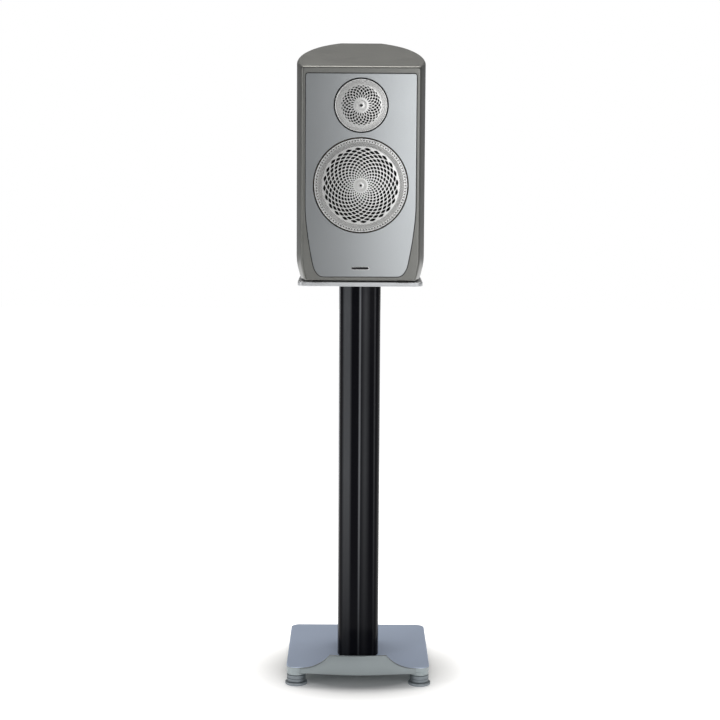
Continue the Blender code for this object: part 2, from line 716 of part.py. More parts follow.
def column_outline(thin=0.0):
    """The column's section: a rectangle whose four corners are quarter ellipses."""
    w = COLUMN_HALF_WIDTH - thin
    front, rear = FRONT_Y + COLUMN_T[0] + thin, FRONT_Y + COLUMN_T[1] - thin
    a, b = COLUMN_CORNER[0] - thin, COLUMN_CORNER[1] - thin
    outline = []
    for cx, cy, start in ((w - a, rear - b, 0), (-w + a, rear - b, 1), (-w + a, front + b, 2),
                          (w - a, front + b, 3)):
        for k in range(7):
            angle = math.pi / 2 * (start + k / 6)
            outline.append((cx + a * math.cos(angle), cy + b * math.sin(angle)))
    return outline


def make_column():
    plate("stand_column", [column_outline(), column_outline(COLUMN_WALL)],
          BASE_Z[1] + GAP, TOP_PLATE_Z[0] - GAP, "gloss_black")
    for name, t in zip(("front", "rear"), TIE_ROD_T):
        place = (0, FRONT_Y + t, 0)
        top = TOP_PLATE_Z[1] + 0.0022
        under = TOP_PLATE_Z[1] + GAP
        turned("tie_rod_" + name,
               [(0, top), (0.0066, top), (0.0070, top - 0.0004), (0.0070, under),
                (TIE_ROD_RADIUS, under), (TIE_ROD_RADIUS, BASE_Z[0] - 0.0075),
                (0, BASE_Z[0] - 0.0075)], "steel", place, steps=16)
        turned("tie_nut_" + name,
               [(TIE_ROD_RADIUS + 0.0002, BASE_Z[0] - GAP), (0.0075, BASE_Z[0] - GAP),
                (0.0075, BASE_Z[0] - 0.0065), (TIE_ROD_RADIUS + 0.0002, BASE_Z[0] - 0.0065)],
               "steel", place, steps=18)


def base_outline():
    """The base plate's plan: rounded corners and a front edge bowed forward in the middle."""
    w = BASE_HALF_WIDTH
    front, rear = FRONT_Y + BASE_T[0], FRONT_Y + BASE_T[1]
    square = filleted([(-w, rear), (-w, front), (w, front), (w, rear)], [BASE_CORNER] * 4, 6)
    reach = w - BASE_CORNER
    bow = []
    steps = 16
    for k in range(1, steps):
        x = -reach + 2 * reach * k / steps
        bow.append((x, front - front_bow(x, reach)))
    split = 2 * 7
    return square[:split] + bow + square[split:]


def front_bow(x, reach):
    """How far the base's front edge stands forward at x: a smooth swell in the middle."""
    return BASE_BOW * math.cos(math.pi / 2 * min(1.0, abs(x) / reach)) ** 2


FOOT_X = BASE_HALF_WIDTH - FOOT_INSET
FOOT_Y = {"front": FRONT_Y + BASE_T[0] + FOOT_INSET, "rear": FRONT_Y + BASE_T[1] - FOOT_INSET}


def make_base():
    holes = [circle(TIE_ROD_RADIUS + 0.0004, (0, FRONT_Y + t)) for t in TIE_ROD_T]
    base = plate("stand_base_plate", [base_outline(), *holes], *BASE_Z, "base_paint")
    for row, y in FOOT_Y.items():
        for side in (-1, 1):
            x = side * FOOT_X
            boss = cylinder_cutter(f"boss_{row}_{side}", BOSS_RADIUS - 0.0001,
                                   (x, y, BOSS_BOTTOM), (x, y, BASE_Z[1] - 0.002), 24)
            cut(base, boss, "UNION")
            cut(base, cylinder_cutter(f"boss_bore_{row}_{side}", STUD_RADIUS + 0.0006,
                                      (x, y, BOSS_BOTTOM - 0.01), (x, y, BASE_Z[1] - 0.0025)))


def make_fascia():
    """The upright bell-shaped plate across the front edge of the base, curved to follow it."""
    steps = 24
    low = BASE_Z[0] - 0.001
    rise = FASCIA_TOP - BASE_Z[1]
    outer = BASE_HALF_WIDTH - BASE_CORNER
    span = FASCIA_HALF_WIDTH - FASCIA_FLAT
    radius = (span ** 2 + rise ** 2) / (2 * rise)
    rings = []
    for k in range(steps + 1):
        x = -FASCIA_HALF_WIDTH + 2 * FASCIA_HALF_WIDTH * k / steps
        from_end = FASCIA_HALF_WIDTH - abs(x)
        if from_end < span:
            high = BASE_Z[1] + radius - math.sqrt(radius ** 2 - from_end ** 2)
        else:
            high = FASCIA_TOP
        y = FRONT_Y + BASE_T[0] - front_bow(x, outer) - GAP
        rings.append([(x, y, low), (x, y - FASCIA_THICKNESS, low), (x, y - FASCIA_THICKNESS, high),
                      (x, y, high)])
    loft("base_fascia", rings, "base_paint")


def make_feet():
    for row, y in FOOT_Y.items():
        for side, word in ((-1, "left"), (1, "right")):
            x = side * FOOT_X
            top = BOSS_BOTTOM - GAP
            turned(f"foot_pad_{row}_{word}",
                   [(0, FOOT_PAD_HEIGHT), (FOOT_PAD_RADIUS - 0.002, FOOT_PAD_HEIGHT),
                    (FOOT_PAD_RADIUS, FOOT_PAD_HEIGHT - 0.002), (FOOT_PAD_RADIUS, 0.001),
                    (FOOT_PAD_RADIUS - 0.001, 0), (0, 0)], "rubber", (x, y, 0), steps=24)
            low = FOOT_PAD_HEIGHT + GAP
            turned(f"foot_adjuster_{row}_{word}",
                   [(0, BASE_Z[1] - 0.0035), (STUD_RADIUS, BASE_Z[1] - 0.0035), (STUD_RADIUS, top),
                    (BOSS_RADIUS - 0.0006, top), (BOSS_RADIUS, top - 0.0006), (BOSS_RADIUS, low),
                    (0, low)], "foot_metal", (x, y, 0), steps=24)


make_cabinet()
make_front()
make_inside()
make_woofer()
make_tweeter()
make_rear()
make_top_plate()
make_column()
make_base()
make_fascia()
make_feet()

for piece in PARTS.objects:
    smooth(piece.data)
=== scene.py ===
import math

import bmesh
import bpy
import numpy as np
from bpy.props import FloatProperty, FloatVectorProperty, IntProperty, PointerProperty
from bpy.types import Operator, Panel, PropertyGroup
from mathutils import Matrix, Vector


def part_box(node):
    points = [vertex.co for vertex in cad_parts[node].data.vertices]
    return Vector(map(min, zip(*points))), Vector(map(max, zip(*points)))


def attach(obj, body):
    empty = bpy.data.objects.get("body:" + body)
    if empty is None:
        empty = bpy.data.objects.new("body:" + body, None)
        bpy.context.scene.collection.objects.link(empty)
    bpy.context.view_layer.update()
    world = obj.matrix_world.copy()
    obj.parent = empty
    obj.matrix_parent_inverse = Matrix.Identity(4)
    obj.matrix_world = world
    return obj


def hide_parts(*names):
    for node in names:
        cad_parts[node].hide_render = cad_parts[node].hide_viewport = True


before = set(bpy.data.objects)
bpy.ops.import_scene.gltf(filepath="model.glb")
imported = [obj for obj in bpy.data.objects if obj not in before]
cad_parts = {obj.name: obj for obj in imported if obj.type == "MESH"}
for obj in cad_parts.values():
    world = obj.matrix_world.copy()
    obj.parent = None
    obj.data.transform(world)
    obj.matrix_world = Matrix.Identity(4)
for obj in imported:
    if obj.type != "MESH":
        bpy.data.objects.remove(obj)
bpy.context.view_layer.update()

bl_info = {
    "name": "Compact Loudspeaker",
    "version": (1, 0, 0),
    "blender": (4, 5, 0),
    "location": "3D View > Sidebar > Loudspeaker",
    "description": "A compact two-way loudspeaker with pierced driver covers on its floor stand",
    "category": "Add Mesh",
}

TURN = 2 * math.pi
FRONT_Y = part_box("baffle_panel")[1].y + 0.0003      # the cabinet's front plane
GAP = 0.0003                                        # between pieces that touch
TRIM_FRONT = -0.0046        # the rings round the covers, measured back from the cabinet's front
COVER_RIM = -0.0034         # the covers' rims, in the same measure
COVER_THICKNESS = 0.0010
HOLE_CHAMFER = ((0.00035, 0.0), (0.0, 0.00025))     # widening and depth of a hole's two front rims
COLUMN_CORNER = (0.0117, 0.023)
COLUMN_WALL = 0.003
BASE_THICKNESS = 0.009
BOSS_RADIUS = 0.0168
BOSS_BORE = 0.0058
FOOT_RADIUS = 0.0170
FOOT_GROOVE = 0.0007
CAMERA_SIDE = -0.0082
CAMERA_YAW = math.radians(-0.162)
CAMERA_ROLL = math.radians(0.341)
CORNERS = ("front_left", "front_right", "rear_left", "rear_right")

# painted reflections down the column's front: left edge, right edge, softness and strength of each pale
# band, in half widths of the column
COLUMN_PAINTED_REFLECTIONS = ((-1.05, -0.93, 0.03, 0.30), (-0.84, -0.36, 0.12, 0.09), (-0.05, 0.09, 0.07, 0.22),
                (0.06, 0.52, 0.20, 0.05), (0.68, 0.80, 0.05, 0.045))


# ---------------------------------------------------------------- sizes and colours
def length(name, description, default, low=0.0, high=2.0):
    """A size in metres."""
    return FloatProperty(name=name, description=description, default=default, min=low, max=high,
                         unit="LENGTH", precision=4)


def colour(name, description, default):
    """A colour in linear values."""
    return FloatVectorProperty(name=name, description=description, default=default, size=3,
                               min=0.0, max=1.0, subtype="COLOR")


class CabinetSettings(PropertyGroup):
    front_half_width: length("Front half width", "Half the cabinet's width at its front", 0.103)
    widest_half_width: length("Widest half width", "Half the width at the widest place", 0.113)
    widest_depth: length("Widest depth", "How far behind the front the widest place is", 0.070)
    tail: length("Tail", "Length of the ellipse behind the widest place", 0.240)
    depth: length("Depth", "From the front plane to the flat rear", 0.296)
    bottom: length("Bottom", "Height of the underside", 0.741)
    front_top: length("Front top", "Height of the top at the front", 1.110)
    slope: FloatProperty(name="Top slope", description="Rise of the top for each metre of depth",
                         default=0.189, min=0.0, max=1.0)
    wall: length("Wall", "Thickness of the walls", 0.015)
    tuck: length("Tuck", "How far the lowest part of the walls leans in", 0.007)
    tuck_height: length("Tuck height", "Height of the part that leans in", 0.036)
    corner: length("Corner", "Radius of the front and rear corners", 0.0035)
    edge: length("Edge", "Radius along the top edge", 0.005)
    lacquer: colour("Lacquer", "Colour of the cabinet's metallic lacquer", (0.235, 0.236, 0.222))


class PanelSettings(PropertyGroup):
    half_width: length("Half width", "Half the front panel's width", 0.0954)
    top: length("Top", "Height of its top edge", 1.0977)
    bottom: length("Bottom", "Height of its bottom edge", 0.748)
    proud: length("Proud", "How far its face stands in front of the cabinet", 0.004)
    taper_top: length("Taper top", "Height at which the sides begin to close in", 0.869)
    taper_end: length("Taper end", "Height at which the bottom corner begins", 0.772)
    taper: length("Taper", "How far each side has closed in by then", 0.0125)
    bottom_half: length("Bottom half width", "Half the width of the straight bottom edge", 0.063)
    top_corner: length("Top corner", "Radius of the top corners", 0.004)
    edge: length("Edge", "Width of the bevel round the panel and its holes", 0.0004)
    silver: colour("Silver", "Colour of the panel", (0.44, 0.460, 0.472))


class DriverSettings(PropertyGroup):
    woofer_z: length("Woofer height", "Height of the woofer's axis", 0.9063)
    woofer_hole: length("Woofer hole", "Radius of the panel's hole for the woofer", 0.0826)
    tweeter_z: length("Tweeter height", "Height of the tweeter's axis", 1.0436)
    tweeter_hole: length("Tweeter hole", "Radius of the panel's hole for the tweeter", 0.0471)
    trim: length("Trim width", "Width of the ring round each cover", 0.0032)
    arms: IntProperty(name="Arms", description="Spiral arms of holes round a cover", default=24,
                      min=8, max=48)
    twist: FloatProperty(name="Twist", description="Turn of the holes from one ring to the next",
                         default=math.radians(8.35), min=0.0, max=1.0, subtype="ANGLE")
    woofer_web: length("Woofer web", "Metal left between the woofer cover's holes", 0.0015)
    tweeter_web: length("Tweeter web", "Metal left between the tweeter cover's holes", 0.0012)
    silver: colour("Silver", "Colour of the covers and their rings", (0.86, 0.86, 0.85))


class RearSettings(PropertyGroup):
    port_z: length("Port height", "Height of the port's axis", 1.032)
    port_radius: length("Port radius", "Radius of the port's bore", 0.025)
    port_length: length("Port length", "Length of the port's tube", 0.110)
    terminal_z: length("Terminal height", "Height of the two binding posts", 0.815)
    post_spacing: length("Post spacing", "Between the axes of the two posts", 0.019)


class StandSettings(PropertyGroup):
    top_half_width: length("Top plate half width", "Half the top plate's width", 0.1095)
    base_half_width: length("Base half width", "Half the base plate's width", 0.130)
    base_corner: length("Base corner", "Radius of the base plate's corners", 0.017)
    base_bow: length("Base bow", "How far the middle of the front edge swells forward", 0.010)
    fascia_half_width: length("Fascia half width", "Half the width of the upright plate", 0.105)
    fascia_flat: length("Fascia flat", "Half the width of its straight top", 0.051)
    fascia_top: length("Fascia top", "Height of its straight top", 0.061)
    ridge: length("Ridge", "How far the column's middle stands in front of its corners", 0.0009)
    top_silver: colour("Top plate silver", "Colour of the top plate", (0.72, 0.735, 0.75))
    base_silver: colour("Base silver", "Colour of the base's sides and feet", (0.33, 0.375, 0.39))
    base_top: colour("Base top", "Colour of the base's blue-grey top face", (0.58, 0.68, 0.87))
    black: colour("Column black", "Colour of the column's gloss paint", (0.006, 0.006, 0.008))


class StageSettings(PropertyGroup):
    lens: FloatProperty(name="Lens", description="Focal length", default=86.35, min=20.0,
                        max=300.0, unit="CAMERA")
    distance: length("Distance", "From the cabinet's front plane to the camera", 3.0, 0.5, 10.0)
    height: length("Height", "Height of the camera", 0.980)
    pitch: FloatProperty(name="Pitch", description="How far the camera looks down",
                         default=math.radians(6.472), subtype="ANGLE")
    floor: colour("Floor", "Colour of the floor", (0.90, 0.90, 0.90))


GROUPS = {
    "speaker_cabinet": CabinetSettings,
    "speaker_panel": PanelSettings,
    "speaker_drivers": DriverSettings,
    "speaker_rear": RearSettings,
    "speaker_stand": StandSettings,
    "speaker_stage": StageSettings,
}


# ---------------------------------------------------------------- surfaces
class Skin:
    """Grids of points that become one welded, closed mesh."""

    def __init__(self):
        self.points, self.faces, self.count = [], [], 0

    def add(self, grid, ring_rows=False, ring_columns=True):
        """Adds a grid, or a stack of grids, with a four-sided face between each four neighbours.

        The last three axes are rows, columns and x, y, z. A ring joins the last to the first.
        """
        rows, columns = grid.shape[-3:-1]
        grid = grid.reshape(-1, rows, columns, 3)
        index = self.count + np.arange(grid[..., 0].size).reshape(grid.shape[:3])
        if ring_rows:
            index = np.concatenate([index, index[:, :1]], 1)
        if ring_columns:
            index = np.concatenate([index, index[:, :, :1]], 2)
        corners = (index[:, :-1, :-1], index[:, :-1, 1:], index[:, 1:, 1:], index[:, 1:, :-1])
        self.points.append(grid.reshape(-1, 3))
        self.faces.append(np.stack(corners, -1).reshape(-1, 4))
        self.count += len(self.points[-1])
        return self

    def piece(self, name, material, body, slot, replaces=(), sharp=35):
        """Welds the grids, turns the faces outwards and hangs the piece on its body."""
        points, faces = np.concatenate(self.points), np.concatenate(self.faces)
        mesh = bpy.data.meshes.new(name)
        mesh.vertices.add(len(points))
        mesh.vertices.foreach_set("co", points.ravel())
        mesh.loops.add(faces.size)
        mesh.loops.foreach_set("vertex_index", faces.ravel())
        mesh.polygons.add(len(faces))
        mesh.polygons.foreach_set("loop_start", np.arange(0, faces.size, 4))
        mesh.update(calc_edges=True)
        work = bmesh.new()
        work.from_mesh(mesh)
        bmesh.ops.remove_doubles(work, verts=work.verts, dist=0.000002)
        bmesh.ops.recalc_face_normals(work, faces=work.faces)
        work.to_mesh(mesh)
        work.free()
        if not len(mesh.polygons):
            raise RuntimeError(f"{name} came out with no faces")
        mesh.shade_smooth()
        mesh.set_sharp_from_angle(angle=math.radians(sharp))
        mesh.materials.append(material)
        obj = bpy.data.objects.new(name, mesh)
        bpy.context.scene.collection.objects.link(obj)
        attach(obj, body)
        if replaces:
            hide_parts(*replaces)
        return obj


def rounded(corners, radii, steps=4):
    """A closed line with rounded corners.

    Each corner C becomes the parabola (1-u)^2 A + 2u(1-u) C + u^2 B, where A and B lie one radius
    from C on its two sides and u runs from 0 to 1.
    """
    corners = np.asarray(corners, float)
    before = np.roll(corners, 1, 0) - corners
    after = np.roll(corners, -1, 0) - corners
    lengths = np.stack([np.linalg.norm(before, axis=1), np.linalg.norm(after, axis=1)])
    reach = np.minimum(np.broadcast_to(radii, len(corners)), 0.49 * lengths.min(0))
    start = corners + before * (reach / lengths[0])[:, None]
    end = corners + after * (reach / lengths[1])[:, None]
    u = np.linspace(0, 1, steps + 1)[None, :, None]
    line = start[:, None] * (1 - u) ** 2 + corners[:, None] * 2 * u * (1 - u) + end[:, None] * u ** 2
    line = line.reshape(-1, 2)
    return line[np.linalg.norm(np.roll(line, -1, 0) - line, axis=1) > 1e-9]


def inset(outline, amount):
    """An anticlockwise outline moved inwards: each point goes along its corner's bisector, by the
    amount divided by the cosine of half the corner's turn."""
    before = outline - np.roll(outline, 1, 0)
    before = before / np.linalg.norm(before, axis=1)[:, None]
    along = before + np.roll(before, -1, 0)
    along = along / np.linalg.norm(along, axis=1)[:, None]
    inward = np.stack([-along[:, 1], along[:, 0]], 1)
    return outline + inward * (amount / (before * along).sum(1))[:, None]


def slab(outline, low, high, edge, upright=False, steps=4):
    """A plate over an outline between two heights, with quarter-round edges.

    Its rings are the outline moved in by edge (1 - sin a) while the height goes by edge (1 - cos a),
    and both faces close on the outline's middle. An upright one has its heights along Y.
    """
    a = np.linspace(0, math.pi / 2, steps + 1)
    pulls = np.concatenate([[edge + 0.0008], edge * (1 - np.sin(a)), edge * (1 - np.cos(a)),
                            [edge + 0.0008]])
    heights = np.concatenate([[low], low + edge * (1 - np.cos(a)), high - edge * (1 - np.sin(a)),
                              [high]])
    middle = np.broadcast_to(outline.mean(0), outline.shape)
    flat = np.stack([middle, *(inset(outline, pull) for pull in pulls), middle])
    heights = np.concatenate([[low], heights, [high]])[:, None]
    rings = np.concatenate([flat, np.broadcast_to(heights, flat.shape[:2])[..., None]], 2)
    return rings[..., [0, 2, 1]] if upright else rings


def front_turned(profile, z, x=0.0, steps=96, wave=0.0, lobes=0):
    """A profile of (radius, depth) carried round an axis that runs from front to back.

    x = r sin a and z = r cos a, and a wave adds a ripple of that many lobes to the radius.
    """
    profile = np.asarray(profile, float)
    a = (np.arange(steps) * TURN / steps)[None]
    r = profile[:, :1] + wave * np.cos(lobes * a) * (profile[:, :1] > 0.005)
    return np.stack(np.broadcast_arrays(x + r * np.sin(a), FRONT_Y + profile[:, 1:], z + r * np.cos(a)),
                    -1)


def upright_turned(profile, x, y, steps=64):
    """A profile of (radius, height) carried round an upright axis: x = r cos a, y = r sin a."""
    profile = np.asarray(profile, float)
    a = (np.arange(steps) * TURN / steps)[None]
    r = profile[:, :1]
    return np.stack(np.broadcast_arrays(x + r * np.cos(a), y + r * np.sin(a), profile[:, 1:]), -1)


# ---------------------------------------------------------------- materials
class Value:
    """A socket of a material, with arithmetic that adds its Math nodes."""

    def __init__(self, finish, socket):
        self.finish, self.socket = finish, socket

    def _math(self, operation, *values):
        return self.finish.node("ShaderNodeMath", {"operation": operation}, *values)

    def __add__(self, other):
        return self._math("ADD", self, other)

    def __sub__(self, other):
        return self._math("SUBTRACT", self, other)

    def __rsub__(self, other):
        return self._math("SUBTRACT", other, self)

    def __mul__(self, other):
        return self._math("MULTIPLY", self, other)

    __radd__, __rmul__ = __add__, __mul__

    def sine(self):
        return self._math("SINE", self)

    def clamped(self):
        return self._math("MINIMUM", self._math("MAXIMUM", self, 0.0), 1.0)


class Finish:
    """A material on Object coordinates: constants on the shader, and whatever varies fed to it."""

    def __init__(self, name, **constants):
        self.material = bpy.data.materials.new(name)
        self.material.use_nodes = True
        self.tree = self.material.node_tree
        self.shader = self.tree.nodes["Principled BSDF"]
        for socket, value in constants.items():
            self.shader.inputs[socket.replace("_", " ")].default_value = value
        self.place = self.node("ShaderNodeTexCoord", output="Object")

    def node(self, kind, settings=None, *values, output=0, **inputs):
        """Adds a node: its settings first, then values or links for its sockets."""
        node = self.tree.nodes.new(kind)
        for key, value in (settings or {}).items():
            setattr(node, key, value)
        pairs = [*enumerate(values), *((k.replace("_", " "), v) for k, v in inputs.items())]
        for key, value in pairs:
            if isinstance(value, Value):
                self.tree.links.new(value.socket, node.inputs[key])
            else:
                node.inputs[key].default_value = value
        return Value(self, node.outputs[output])

    def feed(self, **inputs):
        """Links values to the shader's own sockets."""
        for key, value in inputs.items():
            self.tree.links.new(value.socket, self.shader.inputs[key.replace("_", " ")])

    def axes(self):
        """The place's x, y and z."""
        split = self.tree.nodes.new("ShaderNodeSeparateXYZ")
        self.tree.links.new(self.place.socket, split.inputs[0])
        return [Value(self, socket) for socket in split.outputs]

    def stretched(self, factors, offset=(0, 0, 0)):
        """The place, moved and then scaled along each axis."""
        moved = self.node("ShaderNodeVectorMath", {"operation": "ADD"}, self.place, offset)
        return self.node("ShaderNodeVectorMath", {"operation": "MULTIPLY"}, moved, factors)

    def noise(self, scale, detail, where=None):
        return self.node("ShaderNodeTexNoise", None, Vector=where or self.place, Scale=scale,
                         Detail=detail, Roughness=0.55)

    def specks(self, scale, output="Color"):
        return self.node("ShaderNodeTexVoronoi", None, output=output, Vector=self.place, Scale=scale)

    def mix(self, factor, first, second):
        """Two colours mixed by a factor."""
        node = self.tree.nodes.new("ShaderNodeMix")
        node.data_type = "RGBA"
        for index, value in ((0, factor), (6, first), (7, second)):
            if isinstance(value, Value):
                self.tree.links.new(value.socket, node.inputs[index])
            else:
                node.inputs[index].default_value = value if index == 0 else (*value, 1.0)
        return Value(self, node.outputs[2])

    def bump(self, height, distance, strength=1.0, under=None):
        """Bumps of a height from 0 to 1 over a distance in metres."""
        node = self.node("ShaderNodeBump", None, Strength=strength, Distance=distance, Height=height)
        if under:
            self.tree.links.new(under.socket, node.socket.node.inputs["Normal"])
        return node


def shaded(base, factor):
    """A colour made darker or lighter."""
    return tuple(min(1.0, c * factor) for c in base)


def grained(name, base, scale, spread, roughness, bump, metallic=0.0, **constants):
    """A finish whose colour, roughness and surface vary together with a fine grain."""
    f = Finish(name, Metallic=metallic, **constants)
    grain = f.noise(scale, 4.0)
    cloud = f.noise(scale / 40, 2.0)
    mixed = (grain * 0.7 + cloud * 0.3 - 0.35) * 3.0
    f.feed(Base_Color=f.mix(mixed.clamped(), shaded(base, 1 - spread), shaded(base, 1 + spread)),
           Roughness=grain * 0.16 + (roughness - 0.08), Normal=f.bump(grain, bump))
    return f.material


def lacquer(name, base):
    """Clear-coated metallic lacquer: small flakes of lighter and darker metal under a gloss coat."""
    f = Finish(name, Coat_Weight=0.3, Coat_Roughness=0.16, Coat_IOR=1.4)
    flakes = f.specks(2600.0)
    tone = f.node("ShaderNodeSeparateColor", None, flakes)
    cloud = f.noise(30.0, 3.0)
    f.feed(Base_Color=f.mix(tone * 0.5 + cloud * 0.5, shaded(base, 0.80), shaded(base, 1.20)),
           Metallic=tone * 0.2 + 0.68, Roughness=cloud * 0.12 + 0.32,
           Normal=f.bump(tone, 0.00002, 0.35))
    return f.material


def satin_silver(name, base, crown, scale=1500.0, roughness=0.33):
    """Blasted silver with a fine grain, and a face that swells very slightly across its width.

    The swell is a height of minus crown times the square of the distance from the middle.
    """
    f = Finish(name, Metallic=0.85)
    x = f.axes()[0]
    grain = f.noise(scale, 3.0)
    fine = f.noise(scale * 2.5, 1.0)
    cloud = f.noise(9.0, 2.0)
    swell = f.bump(1.0 - x * x * 100.0, crown)
    speck = (grain * 0.75 + fine * 0.25 - 0.38) * 4.0
    tone = (speck * 0.8 + cloud * 0.2).clamped()
    f.feed(Base_Color=f.mix(tone, shaded(base, 0.90), shaded(base, 1.10)),
           Roughness=grain * 0.10 + cloud * 0.06 + (roughness - 0.08),
           Normal=f.bump(grain, 0.00003, 0.5, swell))
    return f.material


def rings_cut(name, base, roughness, centre, axis, pitch=0.0006, metallic=1.0, spread=0.08):
    """Turned metal: fine rings round an axis, as a lathe leaves them."""
    f = Finish(name, Metallic=metallic)
    flat = [0.0 if i == axis else 1.0 for i in range(3)]
    around = f.stretched(flat, [-c for c in centre])
    radius = f.node("ShaderNodeVectorMath", {"operation": "LENGTH"}, around, output="Value")
    ring = (radius * (TURN / pitch)).sine() * 0.5 + 0.5
    cloud = f.noise(220.0, 3.0)
    tone = ring * 0.5 + cloud * 0.5
    f.feed(Base_Color=f.mix(tone, shaded(base, 1 - spread), shaded(base, 1 + spread)),
           Roughness=cloud * 0.14 + (roughness - 0.07), Normal=f.bump(ring, 0.00002, 0.4))
    return f.material


def windings(name, base, axis, pitch=0.0005):
    """Wound wire: round-topped turns side by side along an axis."""
    f = Finish(name, Metallic=1.0)
    along = f.axes()[axis]
    turns = (along * (TURN / pitch)).sine() * 0.5 + 0.5
    cloud = f.noise(160.0, 2.0)
    f.feed(Base_Color=f.mix(turns * 0.6 + cloud * 0.4, shaded(base, 0.55), shaded(base, 1.15)),
           Roughness=cloud * 0.15 + 0.25, Normal=f.bump(turns, 0.0001))
    return f.material


def fibre_board(name, base):
    """Pressed wood fibre: short pale and dark fibres lying flat, with a dry surface."""
    f = Finish(name)
    long_fibres = f.noise(1.0, 4.0, where=f.stretched((220.0, 220.0, 900.0)))
    dust = f.noise(900.0, 2.0)
    f.feed(Base_Color=f.mix(((long_fibres + dust - 0.7) * 2.0).clamped(), shaded(base, 0.6),
                            shaded(base, 1.3)),
           Roughness=dust * 0.1 + 0.8, Normal=f.bump(long_fibres, 0.0001))
    return f.material


def open_foam(name, base):
    """Open-celled foam: round cells whose middles are dark."""
    f = Finish(name)
    cells = f.specks(420.0, "Distance")
    f.feed(Base_Color=f.mix(cells.clamped(), shaded(base, 1.4), shaded(base, 0.35)),
           Roughness=cells * 0.1 + 0.85, Normal=f.bump(1.0 - cells, 0.0008))
    return f.material


def circuit(name, base):
    """A circuit board: copper tracks in straight runs under green resist."""
    f = Finish(name)
    tracks = f.node("ShaderNodeTexBrick", None, output="Fac", Vector=f.place, Scale=90.0,
                    Mortar_Size=0.03)
    dust = f.noise(500.0, 2.0)
    f.feed(Base_Color=f.mix(tracks * 0.8 + dust * 0.2, base, shaded(base, 2.2)),
           Roughness=dust * 0.1 + 0.35, Normal=f.bump(tracks, 0.00004))
    return f.material


def painted(name, base, roughness, metallic, coat, scale=700.0, peel=0.00003, gloss=0.5,
            over=None):
    """Sprayed paint: a soft orange-peel surface, fine pigment and a slight unevenness of gloss.

    over is a second colour and the height above which it covers the first.
    """
    f = Finish(name, Coat_Weight=coat, Coat_Roughness=0.08, Metallic=metallic,
               Specular_IOR_Level=gloss)
    pigment = f.noise(scale * 3, 2.0)
    skin = f.noise(scale, 2.0)
    cloud = f.noise(14.0, 3.0)
    mottle = pigment * 0.6 + cloud * 0.4
    tone = f.mix(mottle, shaded(base, 0.86), shaded(base, 1.14))
    if over:
        upper, start = over
        above = ((f.axes()[2] - start) * 1500.0).clamped()
        tone = f.mix(above, tone, f.mix(mottle, shaded(upper, 0.9), shaded(upper, 1.1)))
    f.feed(Base_Color=tone,
           Roughness=cloud * 0.10 + skin * 0.06 + (roughness - 0.08),
           Normal=f.bump(skin, peel, 0.5))
    return f.material


def gloss_black_with_painted_reflections(name, base, half, front):
    """Gloss black with painted reflections: upright bands of paler grey down the front of a column of a
    half width stand in for the lights reflected in the gloss.

    Each painted band is a ramp up at its left edge times a ramp down at its right edge. The bands fade
    towards the floor, and end where the column's corners turn away.
    """
    f = Finish(name, Specular_IOR_Level=0.035, Coat_Roughness=0.1)
    x, y, z = f.axes()
    skin = f.noise(240.0, 2.0)
    cloud = f.noise(7.0, 2.0)
    across = x * (1 / half)
    # the sum of the pale bands, painted reflections of the lights
    painted_reflection_level = 0.0
    for left, right, soft, strength in COLUMN_PAINTED_REFLECTIONS:
        rise, fall = (across - left) * (1 / soft), (right - across) * (1 / soft)
        painted_reflection_level = rise.clamped() * fall.clamped() * strength + painted_reflection_level
    facing = ((front + 0.026 - y) * 250.0).clamped()
    # the painted reflections fade towards the floor
    high = ((z - 0.05) * 3.0).clamped()
    painted_reflection_level = (painted_reflection_level * facing * (high * 0.8 + 0.2)).clamped()
    f.feed(Base_Color=f.mix(painted_reflection_level, base, (0.92, 0.95, 1.0)), Coat_Weight=0.5 - facing * 0.5,
           Roughness=skin * 0.04 + cloud * 0.06 + 0.10, Normal=f.bump(skin, 0.000004, 0.4))
    return f.material


# ---------------------------------------------------------------- cabinet
def cabinet_half_width(cabinet, depth):
    """A parabola out to the widest place, then an ellipse that would end a tail's length on."""
    swell = cabinet.widest_half_width - cabinet.front_half_width
    fore = cabinet.widest_half_width - swell * (1 - depth / cabinet.widest_depth) ** 2
    along = np.clip((depth - cabinet.widest_depth) / cabinet.tail, 0, 0.999)
    aft = cabinet.widest_half_width * np.sqrt(1 - along ** 2)
    return np.where(depth < cabinet.widest_depth, fore, aft)


def cabinet_section(cabinet, depth, half, low, high, round_low, round_high):
    """One closed section for each depth, from the middle of the bottom up the right side.

    The side leans in near the bottom by tuck (1 - h / tuck_height) ^ 1.5, and a quarter circle joins
    it to the bottom and to the top.
    """
    given = np.broadcast_arrays(depth, half, low, high, round_low, round_high)
    depth, half, low, high, round_low, round_high = (np.asarray(v, float)[:, None] for v in given)

    def lean(z):
        rise = np.clip((z - cabinet.bottom) / cabinet.tuck_height, 0, 1)
        return 1 - cabinet.tuck * (1 - rise) ** 1.5 / cabinet.front_half_width

    u = np.linspace(0, 1, 7)[None, :-1]
    a = np.linspace(0, math.pi / 2, 6)[None]
    f = (np.linspace(0, 1, 26)[None, 1:-1]) ** 1.6
    foot = half * lean(low)
    x = [(foot - round_low) * u, foot - round_low + round_low * np.sin(a)]
    z = [low + 0 * u, low + round_low * (1 - np.cos(a))]
    side = low + round_low + (high - round_high - low - round_low) * f
    x += [half * lean(side), half - round_high * (1 - np.cos(a)), (half - round_high) * (1 - u[:, 1:])]
    z += [side, high - round_high * (1 - np.sin(a)), high + 0 * u[:, 1:]]
    x, z = np.concatenate(x, 1), np.concatenate(z, 1)
    x = np.concatenate([x, 0 * half, -x[:, :0:-1]], 1)
    z = np.concatenate([z, high, z[:, :0:-1]], 1)
    return np.stack([x, np.broadcast_to(FRONT_Y + depth, x.shape), z], -1)


